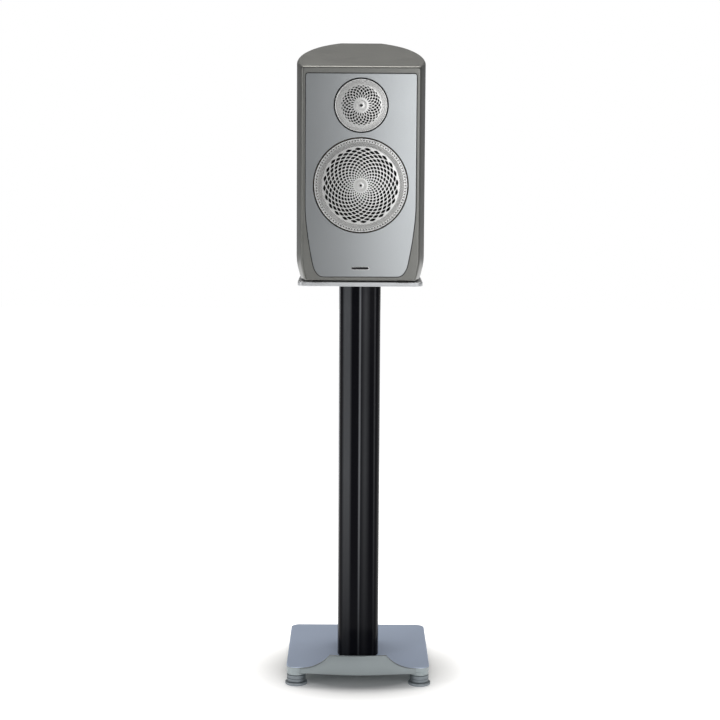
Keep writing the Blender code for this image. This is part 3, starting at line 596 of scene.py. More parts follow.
class SPEAKER_OT_cabinet(Operator):
    """The cabinet: a shell lofted from front to back, open at the front and bored for the port"""
    bl_idname = "speaker.cabinet"
    bl_label = "Cabinet"

    def execute(self, context):
        c = context.scene.speaker_cabinet
        rear = context.scene.speaker_rear
        edge = c.corner * (1 - np.cos(np.linspace(0, math.pi / 2, 7)))
        middle = np.linspace(c.corner, c.depth - c.corner, 46)[1:-1]
        depth = np.concatenate([edge, middle, c.depth - edge[::-1]])
        near = np.minimum(depth, c.depth - depth)
        inward = np.clip(c.corner - near, 0, None)
        cut = c.corner - np.sqrt(np.clip(c.corner ** 2 - inward ** 2, 0, None))
        half = cabinet_half_width(c, depth) - cut
        top = c.front_top + c.slope * depth
        outer = cabinet_section(c, depth, half, c.bottom + cut * 0.3, top - cut, 0.0015, c.edge)
        ends = cabinet_section(c, depth[[0, -1]], half[[0, -1]] - 0.0008,
                               np.full(2, c.bottom) + cut[0] * 0.3 + 0.0008,
                               top[[0, -1]] - cut[0] - 0.0008, 0.0012, c.edge - 0.0008)
        inside = np.array([0.0, c.wall, *np.linspace(0.03, c.depth - c.wall, 24)])
        inner = cabinet_section(c, inside, cabinet_half_width(c, inside) - c.wall, c.bottom + c.wall,
                                c.front_top + c.slope * inside - c.wall, 0.001, 0.001)
        centre = np.array([0.0, 0.0, rear.port_z])
        spoke = (outer[-1] - centre) * (1, 0, 1)
        spoke = spoke / np.linalg.norm(spoke, axis=1)[:, None] * (rear.port_radius + 0.0045)
        bore = np.stack([centre + spoke + (0, FRONT_Y + c.depth, 0),
                         centre + spoke + (0, FRONT_Y + c.depth - c.wall, 0)])
        rows = np.concatenate([inner[:1], ends[:1], outer, ends[1:], bore, inner[:0:-1]])
        shell = Skin().add(rows, ring_rows=True)
        # the frame's face goes on behind the panel's tapered foot
        inner_half, sill = c.front_half_width - c.wall + 0.001, c.bottom + c.wall - 0.001
        head = c.bottom + 0.074
        foot = rounded([(-inner_half, sill), (inner_half, sill), (inner_half, head),
                        (-inner_half, head)], 0.001, 2)
        shell.add(slab(foot, FRONT_Y + 0.0001, FRONT_Y + 0.0027, 0.0002, upright=True))
        shell.piece("cabinet", lacquer("metallic lacquer", c.lacquer), "body", "metallic_lacquer",
                    ("cabinet_shell",))
        return {"FINISHED"}


# ---------------------------------------------------------------- front panel
def panel_outline(panel, seam):
    """The panel's outline, anticlockwise from the seam on its right side.

    The sides are straight, then close in by taper k ^ 1.56, and a parabola turns the bottom corner.
    """
    k = np.linspace(0, 1, 13)
    z = panel.taper_top + (panel.taper_end - panel.taper_top) * k
    x = panel.half_width - panel.taper * k ** 1.56
    slope = (x[-1] - x[-2]) / (z[-1] - z[-2])
    start, end = np.array([x[-1], z[-1]]), np.array([panel.bottom_half, panel.bottom])
    bend = np.array([start[0] + slope * (panel.bottom - start[1]), panel.bottom])
    u = np.linspace(0, 1, 15)[1:, None]
    corner = start * (1 - u) ** 2 + bend * 2 * u * (1 - u) + end * u ** 2
    flat = np.linspace(panel.bottom_half, 0, 10)[1:]
    below = np.linspace(seam, panel.taper_top, 16)[:-1]
    lower = np.concatenate([np.stack([np.full(15, panel.half_width), below], 1), np.stack([x, z], 1),
                            corner, np.stack([flat, np.full(9, panel.bottom)], 1)])
    a = np.linspace(0, math.pi / 2, 6)
    side = np.linspace(seam, panel.top - panel.top_corner, 14)[:-1]
    turn_x = panel.half_width - panel.top_corner * (1 - np.cos(a))
    turn_z = panel.top - panel.top_corner * (1 - np.sin(a))
    across = np.linspace(turn_x[-1], 0, 16)[1:]
    upper = np.concatenate([np.stack([np.full(13, panel.half_width), side], 1),
                            np.stack([turn_x, turn_z], 1),
                            np.stack([across, np.full(15, panel.top)], 1)])
    mirror = np.array([-1, 1])
    return (np.concatenate([upper, upper[-2:0:-1] * mirror]),
            np.concatenate([lower * mirror, lower[-2::-1]]))


class SPEAKER_OT_panel(Operator):
    """The silver front panel, with its two holes and bevelled edges, and the badge on it"""
    bl_idname = "speaker.panel"
    bl_label = "Front panel"

    def execute(self, context):
        p, d = context.scene.speaker_panel, context.scene.speaker_drivers
        seam = (d.woofer_z + d.woofer_hole + d.tweeter_z - d.tweeter_hole) / 2
        upper, lower = panel_outline(p, seam)
        count = len(upper)
        outer = np.concatenate([upper, lower[:-1]])
        outer = outer[np.linalg.norm(np.roll(outer, -1, 0) - outer, axis=1) > 1e-9]
        face, back = -p.proud, -GAP
        inner = inset(outer, p.edge)
        support = inset(outer, p.edge + 0.0008)
        skin = Skin()

        def standing(line, depth):
            return np.stack([line[:, 0], np.full(len(line), FRONT_Y + depth), line[:, 1]], 1)

        def region(line, part, z, hole, rings, depth):
            """Rings from a round hole out to a part of the outline closed by the seam."""
            upper_part, lower_part = line[:count + 1], np.concatenate([line[count:], line[:1]])
            line = upper_part if part == "upper" else lower_part
            u = np.linspace(0, 1, 34)[1:-1, None]
            line = np.concatenate([line, line[-1] + (line[0] - line[-1]) * u])
            centre = np.array([0.0, z])
            spoke = line - centre
            rim = centre + spoke / np.linalg.norm(spoke, axis=1)[:, None] * hole
            return np.stack([standing(rim + (line - rim) * v, depth) for v in rings])

        for part, z, hole in (("upper", d.tweeter_z, d.tweeter_hole),
                              ("lower", d.woofer_z, d.woofer_hole)):
            front = region(support, part, z, hole + p.edge, np.linspace(0, 1, 8), face)
            rear_side = region(outer, part, z, hole, (0, 1), back)
            skin.add(front)
            skin.add(rear_side)
            # the hole's wall repeats both rims, so that they weld
            skin.add(np.stack([front[0], rear_side[0]]))
        skin.add(np.stack([standing(support, face), standing(inner, face),
                           standing(inset(outer, p.edge * 0.3), face + p.edge * 0.3),
                           standing(outer, face + p.edge), standing(outer, back)]))
        skin.piece("front_panel", satin_silver("panel silver", p.silver, 0.0026), "body", "silver_panel",
                   ("baffle_panel",), 30)

        # a black strip round the panel's edge, just behind its face: a painted shadow line where the
        # panel stands proud of the cabinet
        strip = inset(outer, -0.0001), inset(outer, -0.0014)
        Skin().add(np.stack([standing(strip[0], -0.0009), standing(strip[1], -0.0006),
                             standing(strip[1], 0.0), standing(strip[0], 0.0)]), ring_rows=True).piece(
            "panel_shadow_strip", grained("shadow strip black", (0.012, 0.012, 0.012), 900.0, 0.3, 0.7, 0.0002),
            "body", "rubber")

        low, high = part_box("badge")
        a = np.linspace(0, TURN, 48, endpoint=False)
        half_x, half_z = (high.x - low.x) / 2, (high.z - low.z) / 2
        pill = np.stack([np.sign(np.cos(a)) * (half_x - half_z) + half_z * np.cos(a),
                         (low.z + high.z) / 2 + half_z * np.sin(a)], 1)
        Skin().add(slab(pill, low.y, high.y, 0.0004, upright=True)).piece(
            "name_badge", satin_silver("badge silver", (0.75, 0.75, 0.75), 0.0, 2500.0, 0.25), "body",
            "cover_silver", ("badge",))
        centre = np.array([0.0, (low.z + high.z) / 2])
        inlay = centre + (pill - centre) * (0.93, 0.66)
        Skin().add(slab(inlay, low.y - 0.0002, low.y + 0.0004, 0.00015, upright=True)).piece(
            "badge_inlay", painted("inlay black", (0.012, 0.012, 0.014), 0.12, 0.0, 0.5), "body",
            "gloss_black")
        return {"FINISHED"}


# ---------------------------------------------------------------- driver covers
def pierced(skin, dome, thickness, radius_of, arms, rings, start, twist, hole, rim, points=16):
    """A pierced annulus: rings of diamond cells on spiral arms, with a hole through each cell.

    Ring k and arm i have a cell centred at the angle start + i step + k twist and the radius
    radius_of(k). The cell's place (a, b), each from -1/2 to 1/2, is the angle
    + a twist + b (twist - step) and the ring k + a + b, so that its corners fall on those of its
    neighbours. hole(a, b, shape) gives the hole's rim inside the cell. The ragged inner and outer
    edges are filled out to circles, and the back repeats the front one thickness deeper.
    """
    step = TURN / arms
    k = np.arange(rings)[:, None, None, None]
    i = np.arange(arms)[None, :, None, None]
    phi = np.arange(points) * TURN / points
    direction = np.stack([np.cos(phi), np.sin(phi)])
    square = direction / np.abs(direction).max(0) / 2

    def place(angle, r, depth):
        z = rim["z"]
        return np.stack(np.broadcast_arrays(r * np.sin(angle), FRONT_Y + dome(r) + depth,
                                            z + r * np.cos(angle)), -1)

    def cell(a, b, depth):
        angle = start + i * step + k * twist + a * twist + b * (twist - step)
        return place(angle, radius_of(k + a + b), depth)

    edge = cell(square[0], square[1], 0.0)[:, :, 0]
    levels = [edge]
    for grow, depth in (*HOLE_CHAMFER, (0.0, thickness)):
        ring_k, arm_i = k[..., 0, :], i[..., 0, :]
        middle = start + arm_i * step + ring_k * twist
        r0 = radius_of(ring_k)
        if hole["kind"] == "round":
            a0, b0 = square
            width = r0 * (a0 * twist + b0 * (twist - step))
            height = radius_of(ring_k + a0 + b0) - r0
            way = np.arctan2(height, width)
            r = r0 + (hole["radius"] + grow) * np.sin(way)
            angle = middle + (hole["radius"] + grow) * np.cos(way) / r0
            levels.append(place(angle, r, depth))
        else:
            p = hole["power"]
            curve = direction / (np.abs(direction) ** p).sum(0) ** (1 / p) / 2
            half_along = math.pi * r0 / arms
            half_out = np.abs(radius_of(ring_k + 0.5) - radius_of(ring_k - 0.5))
            room = half_along * half_out / np.hypot(half_along, half_out)
            scale = np.maximum(0.22, 1 - (hole["web"] / 2) / room) + grow / room
            scale = scale * np.where(ring_k == 0, hole["first"], 1.0)
            a, b = curve[0] * scale, curve[1] * scale
            angle = middle + a * twist + b * (twist - step)
            levels.append(place(angle, radius_of(ring_k + a + b), depth))
    levels.append(cell(square[0], square[1], thickness)[:, :, 0])
    skin.add(np.stack(levels, 2))

    eighth = points // 8
    for ring, first, circle in ((0, 3 * eighth, rim["outer"]), (rings - 1, -eighth, rim["inner"])):
        pick = (np.arange(4 * eighth + 1) + first) % points
        ragged, behind = edge[ring][:, pick], levels[-1][ring][:, pick]
        a, b = square[:, pick]
        angle = (start + np.arange(arms)[:, None] * step + ring * twist + a * twist
                 + b * (twist - step))
        skin.add(np.stack([ragged, place(angle, circle + 0 * angle, 0.0),
                           place(angle, circle + 0 * angle, thickness), behind], 1),
                 ring_columns=False)


def hub_profile(rivet, disc, end, rings):
    """A dark-edged rivet hole, a smooth disc, and fine rings out to the pierced part."""
    grooves = np.linspace(disc + 0.0006, end - 0.0004, 2 * rings + 1)
    depths = np.where(np.arange(2 * rings + 1) % 2, 0.00025, -0.00015)
    return [(0.0, 0.0009), (rivet - 0.0001, 0.0009), (rivet, -0.0002), (rivet + 0.0005, -0.0006),
            (disc - 0.0005, -0.0004), (disc, 0.0001), *zip(grooves, depths), (end, -0.0001)]


class SPEAKER_OT_covers(Operator):
    """The two pierced covers, domed, with their hubs, and the ring round each"""
    bl_idname = "speaker.covers"
    bl_label = "Driver covers"

    def cover(self, d, name, z, hole, crown, hub, *bands):
        """A cover of pierced bands, inmost first, with the rivet, the ring and the black gap.

        The cover's face stands crown (1 - (r / reach)^2) in front of its rim.
        """
        outer = hole - 0.0008
        inner = outer - d.trim
        reach, thickness, slot = inner - GAP, COVER_THICKNESS, "cover_silver"

        def dome(r):
            return COVER_RIM - crown * (1 - (r / reach) ** 2)

        def band(*profile):
            return [(r, dome(r) + t) for r, t in profile]

        skin = Skin()
        for pattern in bands:
            pierced(skin, dome, thickness, **pattern)
        ends = [pattern["rim"]["inner"] for pattern in bands[1:]] + [reach]
        for low, high in zip((pattern["rim"]["outer"] for pattern in bands), ends):
            low, high = low - 0.0002, min(high + 0.0002, reach)
            low = min(low, high - 0.0005)
            skin.add(front_turned(band((low, 0.0), (low + 0.0001, -0.00012), (high - 0.0001, -0.00012),
                                       (high, 0.0), (high, thickness + 0.0001),
                                       (low, thickness + 0.0001)), z, steps=192), ring_rows=True)
        skin.add(front_turned(band(*hub, (hub[-1][0], thickness + 0.0001), (0.0, thickness + 0.0001)), z,
                              steps=144))
        rivet = rounded([(0.0, -0.0009), (hub[1][0] * 0.8, -0.0006), (hub[1][0] * 0.95, 0.0008),
                         (0.0, 0.0008)], [0.0, 0.0006, 0.0001, 0.0], 4)
        black = grained(name + " rivet black", (0.015, 0.015, 0.016), 1500.0, 0.3, 0.4, 0.00003)
        Skin().add(front_turned(band(*rivet), z, steps=40)).piece(
            name.replace("cover", "rivet"), black, "body", "black_plastic")
        silver = grained(name + " silver", d.silver, 1800.0, 0.05, 0.36, 0.00002, 0.55)
        skin.piece(name, silver, "body", slot, (name,), 32)
        outside = outer - 0.0011
        near, far = outside + 0.0001, outer - 0.0001
        gap = rounded([(near, TRIM_FRONT), (far, TRIM_FRONT), (far, -0.0008), (near, -0.0008)],
                      0.0002, 3)
        ring = rounded([(inner, TRIM_FRONT), (outside, TRIM_FRONT), (outside, -GAP), (inner, -GAP)],
                       [0.0004, 0.0010, 0.0002, 0.0002], 5)
        turned = rings_cut(name + " ring silver", shaded(d.silver, 0.93), 0.28, (0, 0, z), 1, 0.0004,
                           0.7, 0.04)
        Skin().add(front_turned(ring, z, steps=160), ring_rows=True).piece(
            name.replace("cover", "trim"), turned, "body", slot,
            (name.replace("cover", "trim_ring"),))
        dark = grained(name + " gap black", (0.004, 0.004, 0.004), 900.0, 0.3, 0.6, 0.00003)
        Skin().add(front_turned(gap, z, steps=160), ring_rows=True).piece(
            name.replace("cover", "gap_ring"), dark, "body", "black_plastic")

    def execute(self, context):
        d = context.scene.speaker_drivers
        z = d.woofer_z
        self.cover(
            d, "woofer_cover", z, d.woofer_hole, 0.0070, hub_profile(0.0022, 0.0062, 0.0112, 4),
            dict(radius_of=lambda k: 0.0629 - 0.00345 * k, arms=d.arms, rings=15,
                 start=math.radians(-4.5), twist=d.twist, rim=dict(z=z, inner=0.0109, outer=0.0666),
                 hole=dict(kind="diamond", power=5.0, web=d.woofer_web, first=1.04)),
            dict(radius_of=lambda k: 0.0743 - 0.00125 * k, arms=160, rings=6, start=0.0,
                 twist=TURN / 320, rim=dict(z=z, inner=0.06675, outer=0.0756),
                 hole=dict(kind="round", radius=0.00066), points=8),
            dict(radius_of=lambda k: 0.07695 - 0.00125 * k, arms=96, rings=1, start=0.0,
                 twist=TURN / 192, rim=dict(z=z, inner=0.07565, outer=0.07825),
                 hole=dict(kind="round", radius=0.00105)))
        z = d.tweeter_z
        self.cover(
            d, "tweeter_cover", z, d.tweeter_hole, 0.0050, hub_profile(0.0026, 0.0066, 0.0105, 3),
            dict(radius_of=lambda k: 0.0349 - 0.00125 * (k + 1) - 0.00032 * (k + 1) ** 2,
                 arms=d.arms, rings=6, start=math.radians(6.1), twist=d.twist,
                 rim=dict(z=z, inner=0.0102, outer=0.0351),
                 hole=dict(kind="diamond", power=5.0, web=d.tweeter_web, first=0.9)),
            dict(radius_of=lambda k: 0.0415 - 0.0010 * k, arms=120, rings=6, start=0.0,
                 twist=TURN / 240, rim=dict(z=z, inner=0.0352, outer=0.04255),
                 hole=dict(kind="round", radius=0.00030), points=8))
        return {"FINISHED"}


# ---------------------------------------------------------------- rear
class SPEAKER_OT_rear(Operator):
    """The port's flared tube, the terminal plate and the two fluted nuts"""
    bl_idname = "speaker.rear"
    bl_label = "Rear"

    def execute(self, context):
        r, c = context.scene.speaker_rear, context.scene.speaker_cabinet
        bore, back = r.port_radius, c.depth
        mouth, widening, proud = back - r.port_length, 0.0045, 0.0030
        a = np.linspace(0, 1, 12)[:, None]
        flare = np.concatenate([bore + widening * a ** 2.5, back - 0.016 + 0.019 * a], 1)
        tail = np.concatenate([bore + 0.0010 * (1 - a) ** 3, mouth + 0.012 * a], 1)
        outer = bore + 0.0030
        lip = rounded([(bore + widening, back + proud), (bore + 0.0080, back + proud),
                       (bore + 0.0080, back + GAP), (outer, back + GAP)],
                      [0.0003, 0.0016, 0.0002, 0.0], 5)
        lip = lip[lip[:, 0] > outer + 0.0006]
        profile = np.concatenate([tail, flare, lip, [(outer, back + GAP), (outer, mouth)]])
        plastic = grained("port plastic", (0.018, 0.018, 0.019), 1200.0, 0.25, 0.45, 0.00006)
        Skin().add(front_turned(profile, r.port_z, steps=112), ring_rows=True).piece(
            "port", plastic, "body", "black_plastic", ("port_tube",))

        low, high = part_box("terminal_plate")
        outline = rounded([(low.x, low.z), (high.x, low.z), (high.x, high.z), (low.x, high.z)], 0.006, 8)
        plate = Skin().add(slab(outline, low.y, high.y - 0.0006, 0.0009, upright=True))
        middle = (low.z + high.z) / 2
        groove = rounded([(low.x + 0.003, low.z + 0.003), (high.x - 0.003, low.z + 0.003),
                          (high.x - 0.003, high.z - 0.003), (low.x + 0.003, high.z - 0.003)], 0.005, 8)
        plate.add(slab(groove, high.y - 0.0012, high.y, 0.0005, upright=True))
        plate.piece("terminal_cup", grained("terminal plastic", (0.016, 0.016, 0.017), 800.0, 0.25,
                                            0.5, 0.00008),
                    "body", "black_plastic", ("terminal_plate",))

        for word, base in (("negative", (0.016, 0.016, 0.017)), ("positive", (0.42, 0.018, 0.016))):
            low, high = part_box("post_nut_" + word)
            near, far = low.y - FRONT_Y, high.y - FRONT_Y
            profile = rounded([(0.0032, near), (0.0067, near), (0.0067, far), (0.0032, far)],
                              [0.0002, 0.0007, 0.0010, 0.0003], 4)
            side = np.linspace(near + 0.002, far - 0.002, 9)[:, None]
            body = np.concatenate([profile[:10], np.concatenate([0 * side + 0.0067, side], 1),
                                   profile[10:]])
            Skin().add(front_turned(body, middle, (low.x + high.x) / 2, 108, 0.00028, 12),
                       ring_rows=True).piece(
                "nut_" + word, grained("nut plastic " + word, base, 900.0, 0.15, 0.35, 0.00005),
                "nut_" + word, "black_plastic" if word == "negative" else "red_plastic",
                ("post_nut_" + word,), 50)
        return {"FINISHED"}


# ---------------------------------------------------------------- stand
def base_front(stand, x):
    """How far the base's front edge stands forward at x: bow times the square of a cosine."""
    reach = stand.base_half_width - stand.base_corner
    return stand.base_bow * np.cos(math.pi / 2 * np.clip(np.abs(x) / reach, 0, 1)) ** 2


class SPEAKER_OT_column(Operator):
    """The top plate and the hollow column"""
    bl_idname = "speaker.column"
    bl_label = "Column and top plate"

    def execute(self, context):
        s = context.scene.speaker_stand
        low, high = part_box("stand_top_plate")
        outline = rounded([(low.x, low.y), (high.x, low.y), (high.x, high.y), (low.x, high.y)],
                          0.013, 10)
        silver = grained("top plate silver", s.top_silver, 1300.0, 0.06, 0.42, 0.00003, 0.55)
        Skin().add(slab(outline, low.z, high.z, 0.0016)).piece(
            "top_plate", silver, "body", "stand_silver", ("stand_top_plate",))

        half, near, far = 0.009, 0.0006, 0.0140
        block = rounded([(-half, near), (half, near), (half, far), (-half, far)], 0.0004, 3)
        blocks = Skin()
        for x in (-0.074, 0.074):
            blocks.add(slab(block + (x, FRONT_Y), high.z - 0.0002, high.z + 0.0022, 0.0003))
        rubber = grained("block rubber", (0.012, 0.012, 0.012), 900.0, 0.3, 0.6, 0.00005)
        blocks.piece("front_blocks", rubber, "body", "black_plastic")

        low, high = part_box("stand_column")
        wide, deep = COLUMN_CORNER

        def section(thin, ridge):
            """Quarter ellipses at the corners; the front between them rises to a rounded ridge."""
            w, a, b = high.x - thin, wide - thin, deep - thin
            front, rear = low.y + thin, high.y - thin
            q = np.linspace(0, math.pi / 2, 20)
            line = [np.stack([cx + a * np.cos(q + turn), cy + b * np.sin(q + turn)], 1)
                    for cx, cy, turn in ((w - a, rear - b, 0), (a - w, rear - b, math.pi / 2),
                                         (a - w, front + b, math.pi))]
            x = np.linspace(a - w, w - a, 41)[1:-1]
            line.append(np.stack([x, np.full(39, front)], 1))
            line.append(np.stack([w - a + a * np.cos(q - math.pi / 2),
                                  front + b + b * np.sin(q - math.pi / 2)], 1))
            line = np.concatenate(line)
            fall = np.hypot(line[:, 0], 0.0012) - 0.0012
            ahead = line[:, 1] < front + b
            line[:, 1] += np.where(ahead, ridge * np.clip(fall / (w - a), 0, 1)
                                   * (1 - (line[:, 1] - front) / b), 0.0)
            return line

        outer, inner = section(0.0, s.ridge), section(COLUMN_WALL, 0.0)
        heights = np.array([low.z, low.z + 0.0005, *np.linspace(low.z + 0.002, high.z - 0.002, 30),
                            high.z - 0.0005, high.z])
        levels = [(outer, z) for z in heights] + [(inner, high.z), (inner, low.z)]
        rows = np.stack([np.concatenate([line, np.full((len(line), 1), z)], 1)
                         for line, z in levels])
        # the column's finish paints the lights' reflections as pale bands down its front
        Skin().add(rows, ring_rows=True).piece(
            "column", gloss_black_with_painted_reflections("column gloss black with painted reflections", s.black, high.x, low.y), "body",
            "gloss_black", ("stand_column",))
        return {"FINISHED"}


class SPEAKER_OT_base(Operator):
    """The base plate with its corner bosses, the bell-shaped fascia across its front, and the feet"""
    bl_idname = "speaker.base"
    bl_label = "Base and feet"

    def execute(self, context):
        s = context.scene.speaker_stand
        two_tone = painted("base plate paint", s.base_silver, 0.36, 0.30, 0.2,
                           over=(s.base_top, 0.0340))
        low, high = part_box("stand_base_plate")
        feet = [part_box("foot_adjuster_" + corner) for corner in CORNERS]
        top = high.z
        w, corner = s.base_half_width, s.base_corner
        rear = high.y
        front = low.y + s.base_bow
        a = np.linspace(0, math.pi / 2, 12)
        arc = corner * np.stack([np.cos(a), np.sin(a)], 1)
        turn = np.array([[0.0, 1.0], [-1.0, 0.0]])
        x = np.linspace(corner - w, w - corner, 50)[1:-1]
        outline = np.concatenate([
            np.array([w - corner, rear - corner]) + arc,
            np.array([corner - w, rear - corner]) + arc @ turn,
            np.array([corner - w, front + corner]) - arc,
            np.stack([x, front - base_front(s, x)], 1),
            np.array([w - corner, front + corner]) - arc @ turn])
        base = Skin().add(slab(outline, top - BASE_THICKNESS, top, 0.0014))
        boss, hole = BOSS_RADIUS, BOSS_BORE
        for near, far in feet:
            cx, cy = (near.x + far.x) / 2, (near.y + far.y) / 2
            profile = [(hole, top - 0.0030), (hole, low.z), (boss - 0.0008, low.z),
                       (boss, low.z + 0.0008), (boss, top - 0.0020), (hole, top - 0.0020)]
            base.add(upright_turned(profile, cx, cy), ring_rows=True)
        base.piece("base_plate", two_tone, "body", "base_paint", ("stand_base_plate",))

        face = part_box("base_fascia")
        bottom, thick = face[0].z, 0.0055
        half, flat, rise = s.fascia_half_width, s.fascia_flat, s.fascia_top - top
        span = half - flat
        radius = (span ** 2 + rise ** 2) / (2 * rise)
        x = np.concatenate([np.linspace(-half, -flat, 33), np.linspace(-flat, flat, 41)[1:-1],
                            np.linspace(flat, half, 33)])
        in_from_end = np.minimum(half - np.abs(x), span)
        crest = top + radius - np.sqrt(radius ** 2 - in_from_end ** 2)
        rear_y = front - base_front(s, x) - GAP
        edge = 0.0013
        q = np.linspace(0, math.pi / 2, 5)
        out, up = [], []
        for sx, sz, first in ((1, 0, 0), (1, 1, 1), (0, 1, 2), (0, 0, 3)):
            for angle in q:
                bow = angle + math.pi / 2 * (first - 1)
                out.append((sx, edge * (math.cos(bow) - (1 if sx else -1))))
                up.append((sz, edge * (math.sin(bow) - (1 if sz else -1))))
        out, up = np.array(out), np.array(up)
        y = rear_y[:, None] - (out[None, :, 0] * thick + out[None, :, 1])
        z = bottom + up[None, :, 0] * (crest - bottom)[:, None] + up[None, :, 1]
        rows = np.stack([np.broadcast_to(x[:, None], y.shape), y, z], -1)
        caps = [np.broadcast_to(rows[end].mean(0), rows[end].shape)[None] for end in (0, -1)]
        # the fascia's paint is the base silver darkened to 0.70, painted shade on the upright front
        # plate
        Skin().add(np.concatenate([caps[0], rows, caps[1]])).piece(
            "fascia", painted("fascia paint with painted shade", shaded(s.base_silver, 0.70), 0.34, 0.5, 0.3), "body",
            "base_paint", ("base_fascia",), 40)

        disc_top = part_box("stand_base_plate")[0].z - GAP
        for corner, (low, high) in zip(CORNERS, feet):
            label = corner.replace("_", " ")
            cx, cy = (low.x + high.x) / 2, (low.y + high.y) / 2
            wide, mid, screw = FOOT_RADIUS, (low.z + disc_top) / 2, 0.0050
            waist = wide - FOOT_GROOVE
            profile = [(0.0, low.z), (wide - 0.0006, low.z), (wide, low.z + 0.0006),
                       (wide, mid - 0.0009), (waist, mid - 0.0006), (waist, mid + 0.0002),
                       (wide, mid + 0.0005), (wide, disc_top - 0.0006), (wide - 0.0006, disc_top),
                       (screw, disc_top), (screw, high.z), (0.0, high.z)]
            metal = rings_cut("foot metal " + label, (0.21, 0.235, 0.255), 0.38, (cx, cy, 0), 2,
                              0.0007, 0.75, 0.10)
            Skin().add(upright_turned(profile, cx, cy)).piece(
                "foot_" + corner, metal, "adjuster_" + corner, "foot_metal",
                ("foot_adjuster_" + corner,))
            low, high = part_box("foot_pad_" + corner)
            wide = high.x - (low.x + high.x) / 2
            pad = [(0.0, 0.0), (wide - 0.0014, 0.0), (wide - 0.0004, 0.0005), (wide, 0.0014),
                   (wide, high.z - 0.0022), (wide - 0.0003, high.z - 0.0012),
                   (wide - 0.0012, high.z - 0.0004), (wide - 0.0026, high.z), (0.0, high.z)]
            ringed = rings_cut("pad metal " + label, (0.30, 0.33, 0.355), 0.42, (cx, cy, 0), 2, 0.0008,
                               0.6, 0.12)
            Skin().add(upright_turned(pad, cx, cy)).piece(
                f"pad_{corner}_rubber", ringed, "pad_" + corner, "rubber", ("foot_pad_" + corner,))
        return {"FINISHED"}


# ---------------------------------------------------------------- finishes of the other nodes
class SPEAKER_OT_finishes(Operator):
    """The finishes of the pieces inside and of the small metal parts"""
    bl_idname = "speaker.finishes"
    bl_label = "Other finishes"

    def execute(self, context):
        d = context.scene.speaker_drivers
        woofer = (0, 0, d.woofer_z)
        paper = grained("cone paper", (0.006, 0.006, 0.0065), 500.0, 0.35, 0.8, 0.0002)
        cast = grained("cast metal", (0.010, 0.010, 0.011), 700.0, 0.25, 0.6, 0.0001, 0.2)
        rubber = grained("soft rubber", (0.007, 0.007, 0.007), 600.0, 0.25, 0.75, 0.00008)
        board = fibre_board("fibre board", (0.30, 0.21, 0.13))
        ferrite = grained("ferrite", (0.045, 0.045, 0.048), 500.0, 0.3, 0.6, 0.0001, 0.2)
        plastic = grained("moulded plastic", (0.018, 0.018, 0.018), 900.0, 0.2, 0.5, 0.00005)
        steel = rings_cut("woofer steel", (0.50, 0.50, 0.52), 0.32, woofer, 1)
        coil = windings("coil windings", (0.62, 0.29, 0.13), 1)
        gold = rings_cut("gold plate", (0.80, 0.58, 0.24), 0.22, (0, 0, 0), 0, 0.0008)
        rods = rings_cut("rod steel", (0.48, 0.48, 0.50), 0.30, (0, 0, 0), 0, 0.0010)
        cloth = fibre_board("pressed cloth", (0.32, 0.22, 0.12))
        film = grained("dome film", (0.02, 0.02, 0.022), 1200.0, 0.2, 0.4, 0.00004)
        foam = open_foam("damping foam", (0.10, 0.10, 0.11))
        resist = circuit("circuit board", (0.02, 0.12, 0.05))
        inductor = windings("inductor windings", (0.62, 0.29, 0.13), 2, 0.0012)
        ceramic = grained("ceramic", (0.55, 0.54, 0.50), 700.0, 0.08, 0.8, 0.00008)
        uses = (
            (paper, "woofer_cone woofer_dust_cap"),
            (rubber, "woofer_surround tweeter_surround woofer_lead tweeter_lead"),
            (rubber, " ".join("cabinet_pad_" + corner for corner in CORNERS)),
            (cast, "woofer_basket tweeter_faceplate"), (cloth, "woofer_spider"),
            (coil, "woofer_voice_coil tweeter_voice_coil"), (film, "tweeter_dome"),
            (steel, "woofer_front_pole_plate woofer_pole_piece"),
            (ferrite, "woofer_magnet tweeter_magnet"),
            (plastic, "tweeter_rear_chamber crossover_capacitor"),
            (board, "front_baffle internal_brace"), (foam, "damping_foam"),
            (resist, "crossover_board"), (inductor, "crossover_coil"),
            (ceramic, "crossover_resistor"),
            (gold, "post_stud_negative post_stud_positive post_washer_negative post_washer_positive"),
            (rods, "tie_rod_front tie_rod_rear tie_nut_front tie_nut_rear"),
        )
        finishes = {node: finish for finish, nodes in uses for node in nodes.split()}
        for name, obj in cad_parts.items():
            if obj.hide_render:
                continue
            for place in obj.material_slots:
                place.material = finishes[name]
        return {"FINISHED"}


